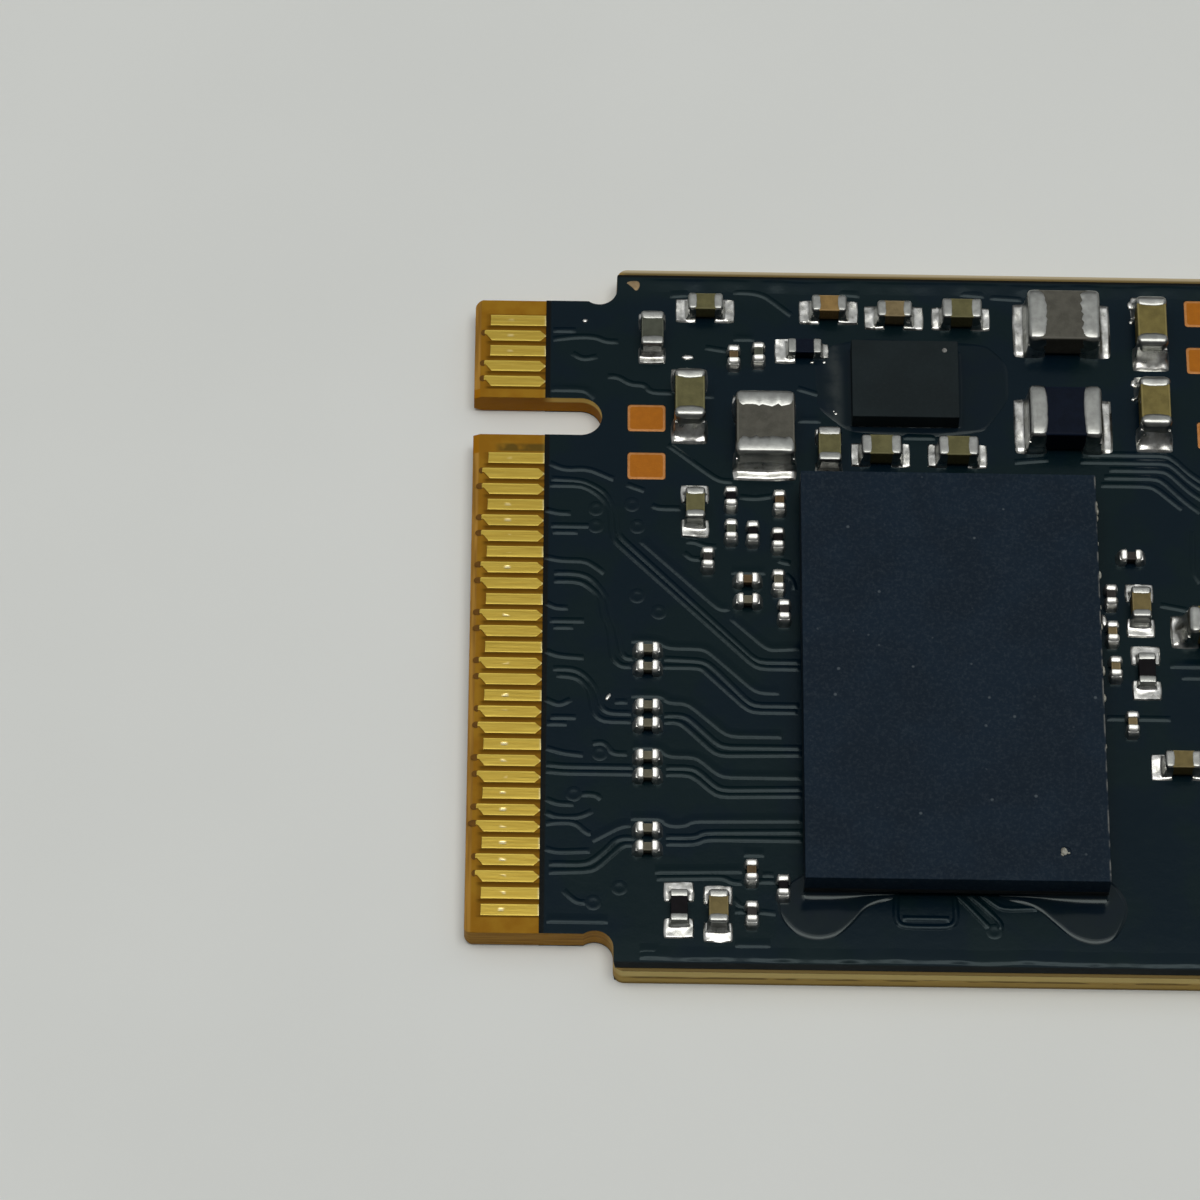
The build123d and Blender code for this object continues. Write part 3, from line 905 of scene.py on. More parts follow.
@dataclass
class Draft:
    """Vertices and faces of one piece, in millimetres."""

    points: list = field(default_factory=list)
    faces: list = field(default_factory=list)
    finishes: list = field(default_factory=list)

    def face(self, corners: Iterable[int], finish: int) -> None:
        """One face of a numbered finish."""
        self.faces.append(tuple(corners))
        self.finishes.append(finish)

    def loft(self, rings: Sequence[Sequence[Vector]], finish: int = 0, looped: bool = False) -> None:
        """Closed skin through rings of equal length.

        Args:
            rings: Rings of points, in order.
            finish: Number of the finish.
            looped: Whether the last ring joins the first, instead of both ends being capped.
        """
        start = len(self.points)
        count = len(rings[0])
        for ring in rings:
            self.points.extend(ring)
        last = len(rings) if looped else len(rings) - 1
        for i in range(last):
            near = start + i * count
            far = start + ((i + 1) % len(rings)) * count
            for k in range(count):
                after = (k + 1) % count
                self.face((near + k, near + after, far + after, far + k), finish)
        if not looped:
            self.face(reversed(range(start, start + count)), finish)
            end = start + (len(rings) - 1) * count
            self.face(range(end, end + count), finish)

    def sheet(self, rows: Sequence[Sequence[Vector]], finish: int = 0) -> None:
        """Height field over its own flat border, closed underneath.

        Args:
            rows: Rows of points of equal length.
            finish: Number of the finish.
        """
        start = len(self.points)
        wide = len(rows[0])
        high = len(rows)
        for row in rows:
            self.points.extend(row)
        for i in range(high - 1):
            for k in range(wide - 1):
                corner = start + i * wide + k
                self.face((corner, corner + 1, corner + wide + 1, corner + wide), finish)
        border = list(range(wide))
        border += [i * wide + wide - 1 for i in range(1, high)]
        border += [(high - 1) * wide + k for k in reversed(range(wide - 1))]
        border += [i * wide for i in reversed(range(1, high - 1))]
        self.face((start + index for index in reversed(border)), finish)

    def piece(self, name: str, materials: Sequence[bpy.types.Material]) -> bpy.types.Object:
        """Makes the object.

        Args:
            name: Name of the piece.
            materials: Materials in the order of the finish numbers.

        Returns:
            A smooth-shaded mesh object in metres.
        """
        mesh = bpy.data.meshes.new(name)
        mesh.from_pydata([tuple(MM * c for c in point) for point in self.points], [], self.faces)
        mesh.polygons.foreach_set("material_index", self.finishes)
        return shaded(mesh, name, materials)


def shaded(mesh: bpy.types.Mesh, name: str, materials: Sequence[bpy.types.Material]) -> bpy.types.Object:
    """Object of a mesh with its faces turned outward, smooth but for sharp edges.

    Args:
        mesh: The mesh, in metres.
        name: Name of the object.
        materials: Its materials.

    Returns:
        The object, linked to the scene.
    """
    draft = bmesh.new()
    draft.from_mesh(mesh)
    bmesh.ops.recalc_face_normals(draft, faces=draft.faces)
    draft.to_mesh(mesh)
    draft.free()
    mesh.shade_smooth()
    even_normals(mesh)
    for material in materials:
        mesh.materials.append(material)
    made = bpy.data.objects.new(name, mesh)
    bpy.context.scene.collection.objects.link(made)
    return made


def even_normals(mesh: bpy.types.Mesh) -> None:
    """Keeps large flat faces flat beside their narrow rounded edges.

    Args:
        mesh: Mesh whose corner normals are averaged by face area, across edges that aren't sharp.
    """
    limit = math.cos(SHARP_ANGLE)
    around: list[list[int]] = [[] for _ in mesh.vertices]
    pulls = []
    units = []
    for polygon in mesh.polygons:
        units.append(polygon.normal.copy())
        pulls.append(polygon.normal * (polygon.area / MM**2))
        for index in polygon.vertices:
            around[index].append(polygon.index)
    normals = [Vector()] * len(mesh.loops)
    for polygon in mesh.polygons:
        own = units[polygon.index]
        for loop, index in zip(polygon.loop_indices, polygon.vertices):
            total = Vector()
            for other in around[index]:
                if own.dot(units[other]) > limit:
                    total += pulls[other]
            normals[loop] = total.normalized() if total.length > 0 else own
    mesh.normals_split_custom_set(normals)


def fitted(piece: bpy.types.Object, slot: str, *nodes: str) -> bpy.types.Object:
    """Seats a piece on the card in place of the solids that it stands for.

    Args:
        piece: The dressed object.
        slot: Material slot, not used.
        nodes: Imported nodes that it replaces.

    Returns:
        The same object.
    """
    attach(piece, BODY)
    if nodes:
        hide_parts(*nodes)
    log.info("%s: %d faces for %s", piece.name, len(piece.data.polygons), ", ".join(nodes) or "no node")
    return piece


def softened(
    solids: Solids, node: str, width: float, material: bpy.types.Material, flow: Point2 = (0.0, 0.0)
) -> bpy.types.Object:
    """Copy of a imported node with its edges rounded.

    Args:
        solids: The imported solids.
        node: Name of the node.
        width: Width of the rounding in millimetres.
        material: Material of the copy.
        flow: How far its near and its far long edge flow outward.

    Returns:
        The new object.
    """
    source = solids.nodes[node].data
    draft = bmesh.new()
    corners = [draft.verts.new(vertex.co / MM) for vertex in source.vertices]
    for polygon in source.polygons:
        draft.faces.new([corners[index] for index in polygon.vertices])
    bmesh.ops.remove_doubles(draft, verts=draft.verts, dist=MERGE_GAP)
    bmesh.ops.dissolve_limit(draft, angle_limit=FLAT_ANGLE, verts=draft.verts, edges=draft.edges)
    edges = [edge for edge in draft.edges if edge.is_manifold and edge.calc_face_angle() > CREASE_ANGLE]
    limit = solids.box(node).high.y - SLACK
    for vertex in draft.verts:
        if vertex.co.y < -limit:
            vertex.co.y -= flow[0]
        elif vertex.co.y > limit:
            vertex.co.y += flow[1]
    bmesh.ops.bevel(
        draft, geom=edges, offset=width, segments=2, profile=0.5, affect="EDGES", clamp_overlap=True
    )
    bmesh.ops.scale(draft, vec=(MM, MM, MM), verts=draft.verts)
    mesh = bpy.data.meshes.new(node + "_soft")
    draft.to_mesh(mesh)
    draft.free()
    return shaded(mesh, node + "_soft", [material])


def rounded_section(half: float, low: float, high: float, radius: float, arc: int, flat: int) -> list[Point2]:
    """Rounded rectangle across a chip part.

    Args:
        half: Half width.
        low: Lowest height.
        high: Greatest height.
        radius: Corner radius.
        arc: Steps of each corner.
        flat: Steps of each side.

    Returns:
        Points (across, up), once round.
    """
    corners = []
    top, foot = high - radius, low + radius
    for turn, (side, level) in enumerate(((1, top), (-1, top), (-1, foot), (1, foot))):
        middle = side * (half - radius)
        angles = [math.pi / 2 * (turn + i / arc) for i in range(arc + 1)]
        corners.append([(middle + radius * math.cos(a), level + radius * math.sin(a)) for a in angles])
    ring = []
    for turn, corner in enumerate(corners):
        ring += corner
        start, end = corner[-1], corners[(turn + 1) % 4][0]
        for i in range(1, flat):
            share = i / flat
            ring.append((start[0] + share * (end[0] - start[0]), start[1] + share * (end[1] - start[1])))
    return ring


def smoothed(path: Sequence[Point2], rounds: int = 2, looped: bool = False) -> list[Vector]:
    """Path with its corners cut round.

    Args:
        path: Corner points.
        rounds: How often each corner is cut.
        looped: Whether the path is closed.

    Returns:
        The finer path.
    """
    points = [Vector(point) for point in path]
    for _ in range(rounds):
        pairs = list(zip(points, points[1:] + points[:1] if looped else points[1:]))
        cut = []
        for a, b in pairs:
            reach = min(CUT_SHARE, CUT_LONGEST / max((b - a).length, CUT_LONGEST))
            cut += [a.lerp(b, reach), a.lerp(b, 1 - reach)]
        points = cut if looped else [points[0], *cut[1:-1], points[-1]]
    return points


def ripple(place: Vector, waves: float, seed: float) -> float:
    """Repeatable noise about zero at a point, at so many waves to the millimetre."""
    return noise.noise(place * waves + Vector((seed, SEED_SKEW * seed, 0)))


def inset(outline: Sequence[Point2], depth: float) -> list[Point2]:
    """Convex outline moved inward.

    Args:
        outline: Corners, anticlockwise.
        depth: How far each side moves.

    Returns:
        The moved corners.
    """
    moved = []
    for i, corner in enumerate(outline):
        here, before, after = Vector(corner), Vector(outline[i - 1]), Vector(outline[(i + 1) % len(outline)])
        into, away = (here - before).normalized(), (after - here).normalized()
        left, right = Vector((-into.y, into.x)), Vector((-away.y, away.x))
        half = (left + right).normalized()
        moved.append(tuple(here + half * (depth / max(half.dot(left), MITRE_LIMIT))))
    return moved


def circle(middle: Sequence[float], radius: float, level: float, count: int = ROUND_STEPS) -> list[Vector]:
    """Level ring of points.

    Args:
        middle: Middle of the ring, whose height isn't read.
        radius: Radius of the ring.
        level: Height of the ring.
        count: Number of points.

    Returns:
        The points, anticlockwise from +X.
    """
    x, y = middle[0], middle[1]
    turns = [2 * math.pi * k / count for k in range(count)]
    return [Vector((x + radius * math.cos(turn), y + radius * math.sin(turn), level)) for turn in turns]


# Card
@dataclass
class Contacts:
    """Gold contacts of one face of the tongue, pointed where a track joins them."""

    solids: Solids
    node: str
    up: int
    edge_round: float = 0.014
    edge_profile: tuple = ((0.0, 1.0), (0.3, 0.3), (1.0, 0.0))
    tip_lift: float = 0.085
    tip_half: float = 0.055
    tip_stem: float = 0.05
    tip_long: float = 0.22
    tip_short: float = 0.04
    neck: float = 0.17
    neck_half: float = 0.022
    square_start: float = 0.4
    stub_long: float = 0.15
    stub_half: float = 0.12
    stub_rise: float = 0.006
    stub_swing: float = 0.9
    stub_lap: float = 0.05
    stub_end: float = 0.5

    def build(self, gold: bpy.types.Material) -> None:
        """One rounded plate for each packed contact.

        Args:
            gold: Material of the plates.
        """
        draft = Draft()
        for box in self.solids.each(self.node):
            outline = self.outline(box)
            foot, crown = (box.low.z, box.high.z) if self.up > 0 else (box.high.z, box.low.z)
            rings = [[Vector((x, y, foot)) for x, y in outline]]
            for depth, drop in self.edge_profile:
                level = crown - self.up * drop * self.edge_round
                rings.append([Vector((x, y, level)) for x, y in inset(outline, depth * self.edge_round)])
            draft.loft(rings)
        fitted(draft.piece(self.node + "_plates", [gold]), "gold", self.node)

    def stubs(self, stain: bpy.types.Material) -> None:
        """Dark stub of the plating bar in front of each pointed tip.

        Args:
            stain: Material of the stubs.
        """
        draft = Draft()
        for box in self.solids.each(self.node):
            if box.low.x - NOSE > self.square_start:
                continue
            start, tip = box.low.x, box.centre.y + self.tip_lift
            foot = box.low.z if self.up > 0 else box.high.z
            long = self.stub_long * (1 + self.stub_swing * ripple(Vector((tip, 0, 0)), waves=1.9, seed=6.0))
            half, narrow = self.stub_half, self.stub_end * self.stub_half
            path = (
                (start - long, tip - narrow),
                (start, tip - half),
                (start + self.stub_lap, tip),
                (start, tip + half),
                (start - long, tip + narrow),
            )
            outline = smoothed(path, looped=True)
            levels = (-self.stub_rise, self.stub_rise)
            draft.loft([[Vector((p.x, p.y, foot + self.up * level)) for p in outline] for level in levels])
        fitted(draft.piece(self.node + "_stubs", [stain]), "bare_copper")

    def outline(self, box: Box) -> list[Point2]:
        """Outline of one contact.

        Args:
            box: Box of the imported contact.

        Returns:
            Its corners, anticlockwise seen from above.
        """
        start, end, near, far = box.low.x, box.high.x, box.low.y, box.high.y
        if start - NOSE > self.square_start:
            return [(start, near), (end, near), (end, far), (start, far)]
        middle = box.centre.y
        tip = middle + self.tip_lift
        return [
            (start, tip - self.tip_half),
            (start + self.tip_stem, tip - self.tip_half),
            (start + self.tip_long, near),
            (end - self.neck, near),
            (end, middle - self.neck_half),
            (end, middle + self.neck_half),
            (end - self.neck, far),
            (start + self.tip_short, far),
            (start, tip + self.tip_half),
        ]


@dataclass
class Card:
    """Laminate, masks, contacts and bare copper."""

    solids: Solids
    palette: Palette
    edge_round: float = 0.025
    film_round: float = 0.008
    film_flow: Point2 = (0.06, -0.03)
    stub_finish: CopperFinish = CopperFinish("stub_copper", (0.150, 0.064, 0.0035), (0.110, 0.046, 0.0025))
    # Middle, rim of painted highlight and bed of painted shadow of a pad, and the rings of each: distance
    # inward, share of the depth, corner radius
    pad_finishes: tuple = (
        CopperFinish(),
        CopperFinish("pad_rim_highlight", (0.53, 0.240, 0.085), (0.45, 0.185, 0.045)),
        CopperFinish("pad_shadow_bed", (0.022, 0.014, 0.010), (0.016, 0.012, 0.010)),
    )
    pad_steps: tuple = (
        ((0.07, 0.9, 0.07), (0.07, 0.03, 0.07), (0.13, 0.0, 0.05)),
        ((0.0, 0.95, 0.10), (0.0, 0.4, 0.10), (0.02, 0.2, 0.09), (0.06, 0.1, 0.08), (0.12, 0.1, 0.06)),
        ((0.0, 1.0, 0.01), (0.0, 0.9, 0.01), (0.05, 0.9, 0.01)),
    )
    mark: tuple = ((4.22, 10.58), (4.62, 10.64), (4.66, 10.44), (4.55, 10.26), (4.42, 10.42))
    mark_height: float = 0.012
    mark_profile: tuple = ((0.0, -0.5), (0.0, 0.0), (0.12, 1.0), (0.5, 1.0))
    mark_finish: CopperFinish = CopperFinish("corner_copper", (0.37, 0.265, 0.145), (0.26, 0.185, 0.100))

    def build(self) -> None:
        """Dresses every flat piece of the card."""
        mask = self.palette.get(MaskFinish())
        gold = self.palette.get(GoldFinish())
        for node, width, finish, slot, flow in (
            ("circuit_board", self.edge_round, self.palette.get(LaminateFinish()), "laminate", (0.0, 0.0)),
            ("solder_mask_top", self.film_round, mask, "solder_mask", self.film_flow),
            ("solder_mask_bottom", self.film_round, mask, "solder_mask", self.film_flow),
            ("screw_notch_plating", self.film_round, gold, "gold", (0.0, 0.0)),
        ):
            fitted(softened(self.solids, node, width, finish, flow), slot, node)
        for node, up in (("contact_fingers_top", 1), ("contact_fingers_bottom", -1)):
            contacts = Contacts(self.solids, node, up)
            contacts.build(gold)
            contacts.stubs(self.palette.get(self.stub_finish))
        self.pads()
        self.bare_mark()

    def pads(self) -> None:
        """Bare pads: dark beds of painted shadow in the mask's openings, pale round-cornered rims of painted
        highlight and orange middles.
        """
        draft = Draft()
        for box in self.solids.each("bare_pads"):
            for finish, steps in enumerate(self.pad_steps):
                rings = []
                for inward, drop, corner in steps:
                    long, wide = box.size.x / 2 - inward, box.size.y / 2 - inward
                    ring = rounded_section(long, -wide, wide, corner, arc=5, flat=3)
                    level = box.high.z - drop * box.size.z
                    rings.append([Vector((box.centre.x + x, box.centre.y + y, level)) for x, y in ring])
                draft.loft(rings, finish)
        materials = [self.palette.get(finish) for finish in self.pad_finishes]
        fitted(draft.piece("bare_pads_rounded", materials), "bare_copper", "bare_pads")

    def bare_mark(self) -> None:
        """Small bare copper corner mark that shows through the mask."""
        outline = smoothed(self.mark, looped=True)
        middle = sum(outline, Vector((0, 0))) / len(outline)
        rings = []
        for share, up in self.mark_profile:
            ring = [point.lerp(middle, share) for point in outline]
            level = CARD_TOP + up * self.mark_height
            rings.append([Vector((p.x + NOSE, p.y, level)) for p in ring])
        draft = Draft()
        draft.loft(rings)
        fitted(draft.piece("bare_corner_mark", [self.palette.get(self.mark_finish)]), "bare_copper")


class Relief(Enum):
    """What lies under the mask: offsets across it as shares of its width, with shares of its height."""

    TRACK = ((-0.5, 0.0), (-0.36, 0.28), (-0.2, 0.8), (0.0, 1.0), (0.2, 0.8), (0.36, 0.28), (0.5, 0.0))
    POUR = (
        (-0.5, 0.0), (-0.36, 0.28), (-0.2, 0.8), (0.0, 1.0),
        (0.25, 0.85), (0.5, 0.5), (0.8, 0.15), (1.1, 0.0),
    )
    PLANE = ((-0.5, 0.0), (-0.42, 0.08), (-0.2, 0.92), (-0.05, 1.0), (0.3, 0.8), (0.7, 0.3), (1.1, 0.0))


@dataclass
class TrackRelief:
    """Copper tracks, copper edges and vias that stand out through the mask, from the leading edge in mm."""

    palette: Palette
    width: float = 0.20
    height: float = 0.025
    bold: float = 1.4
    plane_height: float = 0.95
    plane_swing: float = 1.5
    sunk: float = 0.006
    fade: float = 0.12
    least_rise: float = 0.3
    end_rise: float = 0.12
    via_radius: float = 0.17
    via_profile: tuple = ((1.5, -0.2), (1.3, 0.15), (1.0, 0.45), (0.72, 0.36), (0.45, 0.12), (0.2, 0.02))
    plane_at: float = 10.57
    plane_start: float = 4.7
    plane_step: float = 0.49
    plane_steps: int = 152
    plane_wave: float = 0.06
    tracks: tuple = (
        ((2.15, 3.9), (3.1, 3.9), (3.6, 3.55), (3.85, 3.15), (3.9, 2.2), (7.9, -1.8), (9.1, -1.8)),
        ((2.2, 4.1), (3.1, 4.05), (3.7, 3.7), (4.0, 3.05), (4.05, 2.35), (7.9, -1.6), (9.1, -1.6)),
        (
            (2.3, 1.1), (2.95, 1.1), (3.35, 0.95), (3.8, 0.3), (3.85, -0.15),
            (4.05, -0.65), (4.15, -1.3), (4.3, -1.55), (4.5, -1.55),
        ),
        (
            (2.3, 0.85), (2.95, 0.85), (3.25, 0.7), (3.6, 0.35), (3.65, -0.2),
            (3.85, -0.65), (3.9, -1.5), (4.15, -1.8), (4.45, -1.8),
        ),
        ((2.3, -1.9), (2.9, -1.9), (3.25, -2.15), (3.5, -2.55), (3.6, -3.0), (3.8, -3.25), (4.45, -3.25)),
        ((2.4, -2.1), (2.95, -2.15), (3.2, -2.4), (3.35, -2.7), (3.4, -3.2), (3.65, -3.5), (4.45, -3.5)),
        ((2.15, -4.85), (2.6, -4.9), (4.5, -4.9)),
        ((2.15, -5.05), (2.6, -5.1), (4.5, -5.1)),
        ((2.25, -7.85), (3.3, -7.85), (3.8, -7.4), (4.0, -7.15), (4.2, -7.05), (4.55, -7.05)),
        ((2.25, -8.1), (3.45, -8.05), (4.0, -7.5), (4.25, -7.25), (4.55, -7.25)),
        ((5.35, -1.55), (6.45, -1.6), (6.75, -1.85), (7.75, -2.95), (9.05, -2.95)),
        ((5.3, -1.8), (6.35, -1.8), (6.55, -2.0), (7.7, -3.15), (9.0, -3.15)),
        ((5.35, -3.3), (5.95, -3.3), (6.9, -4.25), (9.1, -4.25)),
        ((5.35, -3.5), (5.8, -3.5), (6.8, -4.5), (9.1, -4.45)),
        ((5.4, -4.9), (6.2, -4.9), (6.85, -5.55), (9.1, -5.5)),
        ((5.4, -5.1), (6.1, -5.1), (6.8, -5.75), (9.1, -5.7)),
        ((5.4, -7.0), (6.2, -7.0), (6.4, -6.85), (9.1, -6.8)),
        ((5.4, -7.2), (6.2, -7.2), (6.45, -7.05), (9.1, -7.05)),
        ((2.05, 3.1), (2.4, 3.0), (2.75, 3.0)),
        ((2.2, 2.6), (3.3, 2.6)),
        ((2.25, 2.4), (2.95, 2.4)),
        ((2.05, 1.6), (2.45, 1.5), (3.15, 1.5), (3.4, 1.35), (3.7, 1.1)),
        ((2.1, 0.15), (2.35, 0.0), (2.7, 0.0)),
        ((2.2, -0.4), (3.15, -0.4)),
        ((2.3, -0.6), (2.85, -0.6)),
        ((2.1, -1.35), (2.4, -1.5), (3.15, -1.55)),
        ((4.0, -2.9), (4.35, -2.9)),
        ((2.1, -2.85), (2.4, -3.0), (2.55, -3.0), (2.8, -2.85)),
        ((2.25, -3.4), (2.95, -3.4)),
        ((2.15, -3.6), (2.7, -3.6)),
        ((2.15, -4.35), (2.6, -4.5), (3.15, -4.55)),
        ((3.4, -4.2), (3.65, -4.15), (3.8, -4.25), (3.95, -4.5), (4.35, -4.5)),
        ((3.1, -5.75), (3.5, -5.75), (3.65, -5.9)),
        ((2.15, -5.9), (2.45, -6.05), (2.9, -6.05)),
        ((2.15, -6.3), (2.4, -6.45), (3.05, -6.45), (3.4, -6.25)),
        ((2.15, -6.65), (2.45, -6.6), (2.95, -6.6), (3.25, -6.9), (3.4, -6.95)),
        ((2.15, -7.4), (2.45, -7.5), (3.35, -7.45)),
        ((2.65, -8.65), (3.0, -9.0), (3.25, -9.0)),
        ((5.15, -8.25), (6.95, -8.2), (7.2, -8.35), (7.45, -8.35)),
        ((7.9, -8.3), (8.35, -8.3)),
        ((8.0, -8.1), (8.3, -8.1)),
        ((7.2, -8.8), (7.4, -9.05), (7.55, -9.05)),
        ((7.25, -9.2), (7.55, -9.2)),
        ((7.9, -9.2), (8.35, -9.25)),
        ((5.9, 1.8), (6.1, 1.6), (6.35, 1.6)),
        ((5.95, 2.15), (6.2, 2.15), (6.5, 2.0), (6.8, 2.0)),
        ((7.45, 3.6), (7.9, 3.55), (8.4, 3.65)),
        ((5.0, 3.3), (5.15, 3.2), (5.8, 3.2)),
        ((8.5, 1.6), (8.6, 1.55), (8.85, 1.5)),
        ((8.7, 1.15), (8.9, 0.95), (8.95, 0.65)),
        ((17.2, 5.15), (19.5, 5.15), (20.05, 4.55), (20.6, 4.15)),
        ((17.0, 4.9), (19.5, 4.9), (20.05, 4.3), (20.6, 3.9)),
        ((17.8, 4.65), (19.4, 4.65), (20.05, 3.95), (20.6, 3.55)),
        ((17.65, 4.4), (19.2, 4.4), (19.9, 3.65), (20.3, 3.3)),
        ((17.55, 4.15), (19.0, 4.15), (19.8, 3.4)),
        ((20.05, 2.7), (20.0, 1.45), (20.2, 1.05)),
        ((19.05, 0.35), (19.8, 0.2)),
        ((17.45, -3.2), (19.2, -3.2)),
        ((14.6, 10.25), (15.5, 10.2)),
        ((15.15, 4.85), (16.1, 4.95)),
        ((7.3, 10.3), (7.8, 10.3), (8.2, 10.2), (8.95, 9.55)),
        ((6.5, 8.45), (7.1, 8.35)),
        ((9.1, 7.15), (9.7, 6.95)),
        ((3.75, 7.45), (4.05, 7.45), (4.4, 7.2), (4.8, 7.2), (4.95, 6.95), (5.6, 6.95)),
        ((5.45, 5.25), (5.65, 5.1), (6.5, 4.4), (6.9, 4.1), (7.25, 4.1)),
        ((2.2, 8.95), (2.85, 8.95)),
        ((2.2, 8.65), (2.85, 8.75), (3.4, 8.75), (3.7, 8.6), (4.05, 8.6)),
        ((2.75, 8.2), (3.05, 8.0), (3.45, 8.1)),
        ((2.15, 4.6), (2.55, 4.4), (3.2, 4.45), (3.75, 4.2), (3.95, 4.1)),
        ((4.3, 3.95), (4.8, 3.75)),
    )
    pours: tuple = (
        ((4.45, -1.0), (5.2, -1.0), (5.45, -1.2), (6.4, -1.2), (6.65, -1.35), (7.9, -2.55), (8.5, -2.55)),
        ((4.45, -2.7), (5.3, -2.7), (5.45, -2.9), (6.0, -2.9), (7.1, -3.9), (8.55, -3.9)),
        ((4.5, -4.3), (5.25, -4.3), (5.45, -4.55), (6.25, -4.55), (6.9, -5.15), (9.1, -5.15)),
        ((4.45, -6.45), (5.3, -6.45), (5.45, -6.65), (5.9, -6.65), (6.1, -6.5), (9.1, -6.45)),
        ((4.7, 2.15), (6.9, 0.0), (7.15, 0.05)),
        ((7.2, -0.25), (8.2, -1.2), (8.5, -1.2), (9.1, -1.15)),
        ((3.4, -7.15), (4.15, -6.7), (4.45, -6.65)),
        ((2.2, -9.55), (3.85, -9.55)),
        ((4.7, -10.4), (5.2, -10.4)),
        ((5.1, -8.05), (7.45, -8.0)),
        ((7.5, -7.5), (8.05, -7.5)),
        ((7.25, -10.2), (8.2, -10.2)),
        ((7.2, 1.2), (8.15, 1.2)),
        ((19.25, -1.55), (20.6, -1.55)),
        ((19.55, -1.9), (20.6, -1.9)),
        ((13.75, 10.35), (14.45, 10.3)),
        ((12.05, 5.6), (12.95, 5.6)),
        ((5.5, 10.15), (6.05, 10.2)),
        ((10.3, 10.3), (10.9, 10.25)),
        ((7.3, 8.75), (7.9, 8.75)),
        ((9.1, 6.1), (9.75, 6.1)),
        ((2.15, 7.0), (3.15, 7.0), (3.4, 6.7)),
        ((6.3, 6.85), (6.75, 6.85)),
    )
    bold_tracks: tuple = (
        ((13.2, -8.6), (13.9, -9.4), (14.08, -9.62)),
        ((13.55, -8.6), (14.2, -9.25), (14.38, -9.48), (14.35, -9.68)),
        ((13.9, -8.6), (14.4, -9.05), (15.35, -9.0)),
        ((11.6, -8.6), (11.55, -9.4), (11.75, -9.6), (13.0, -9.6), (13.2, -9.4), (13.15, -8.6)),
        ((11.75, -9.35), (13.0, -9.35)),
    )
    vias: tuple = (
        (3.6, -4.5), (4.15, -8.55), (5.2, -0.1), (14.2, -9.7), (4.45, 3.3), (4.6, 2.6), (4.6, 0.4),
        (3.45, 3.15), (3.45, 2.6), (2.9, -5.75), (3.45, -9.0),
    )

    def build(self) -> None:
        """Sweeps every track and copper edge and rings every via."""
        draft = Draft()
        for path in self.tracks:
            self.sweep(draft, path, Relief.TRACK)
        for path in self.pours:
            self.sweep(draft, path, Relief.POUR)
        for path in self.bold_tracks:
            self.sweep(draft, path, Relief.TRACK, self.bold)
        for side in (-1, 1):
            edge = self.plane_edge(side)
            self.sweep(draft, edge, Relief.PLANE, self.plane_height, self.bold, self.plane_swing)
        for centre in self.vias:
            self.ring(draft, centre)
        fitted(draft.piece("track_relief", [self.palette.get(MaskFinish())]), "solder_mask")

    def plane_edge(self, side: int) -> list[Point2]:
        """Slightly wavy edge of the ground copper along one long side of the card.

        Args:
            side: -1 for the near side, 1 for the far side.

        Returns:
            Points from the leading edge and the centreline.
        """
        path = []
        for step in range(self.plane_steps):
            x = self.plane_start + self.plane_step * step
            wave = self.plane_wave * ripple(Vector((x, 0, 0)), waves=0.9, seed=5.0 + side)
            path.append((x, side * (self.plane_at + wave)))
        return path if side < 0 else path[::-1]

    def sweep(
        self,
        draft: Draft,
        path: Sequence[Point2],
        relief: Relief,
        boost: float = 1.0,
        spread: float = 1.0,
        swing: float = 0.25,
    ) -> None:
        """Ridge along a path, fading out at both ends.

        Args:
            draft: Mesh that takes the ridge.
            path: Points from the leading edge and the centreline.
            relief: Cross-section of the ridge.
            boost: Share of the usual height.
            spread: Share of the usual width.
            swing: How strongly the height wanders.
        """
        line = smoothed(path)
        head, foot = self.faded(line[0], line[1]), self.faded(line[-1], line[-2])
        line = [line[0], head, *line[1:-1], foot, line[-1]]
        rings = []
        for i, point in enumerate(line):
            ahead = line[min(i + 1, len(line) - 1)] - line[max(i - 1, 0)]
            across = Vector((-ahead.y, ahead.x)).normalized()
            rise = max(self.least_rise, 1.0 + swing * ripple(point.to_3d(), waves=1.7, seed=3.0))
            if i in (0, len(line) - 1):
                rise = self.end_rise
            wide, tall = spread * self.width, rise * boost * self.height
            ring = [(share * wide, up * tall) for share, up in relief.value]
            ring += [(ring[-1][0], -self.sunk), (ring[0][0], -self.sunk)]
            rings.append(
                [
                    Vector((point.x + NOSE + across.x * away, point.y + across.y * away, CARD_TOP + up))
                    for away, up in ring
                ]
            )
        draft.loft(rings)

    def faded(self, end: Vector, inner: Vector) -> Vector:
        """Point where the fade from an end of a ridge is over, at most half way to the next point."""
        return end.lerp(inner, min(0.5, self.fade / max((inner - end).length, self.fade)))

    def ring(self, draft: Draft, centre: Point2) -> None:
        """Tented via: a raised rim round a shallow dip.

        Args:
            draft: Mesh that takes the via.
            centre: Its place, from the leading edge and the centreline.
        """
        middle = (centre[0] + NOSE, centre[1])
        rings = []
        for share, up in self.via_profile:
            rings.append(circle(middle, share * self.via_radius, CARD_TOP + up * self.height))
        draft.loft(rings)


# Packages
@dataclass
class BallGrid:
    """Squeezed solder balls under a package."""

    solids: Solids
    palette: Palette
    node: str
    turns: int = 14
    rows: int = 8
    squeeze: float = 0.45

    def build(self) -> None:
        """One ball for each of the node's columns."""
        draft = Draft()
        for box in self.solids.each(self.node):
            centre, size = box.centre, box.size
            rings = []
            for row in range(self.rows + 1):
                height = -1 + 2 * row / self.rows
                belly = math.sqrt(1 - self.squeeze * height * height) * size.y / 2
                rings.append(circle(centre, belly, centre.z + height * size.z / 2, self.turns))
            draft.loft(rings)
        balls = draft.piece(self.node + "_round", [self.palette.get(SilverFinish(MetalTone.SOLDER))])
        fitted(balls, "solder", self.node)


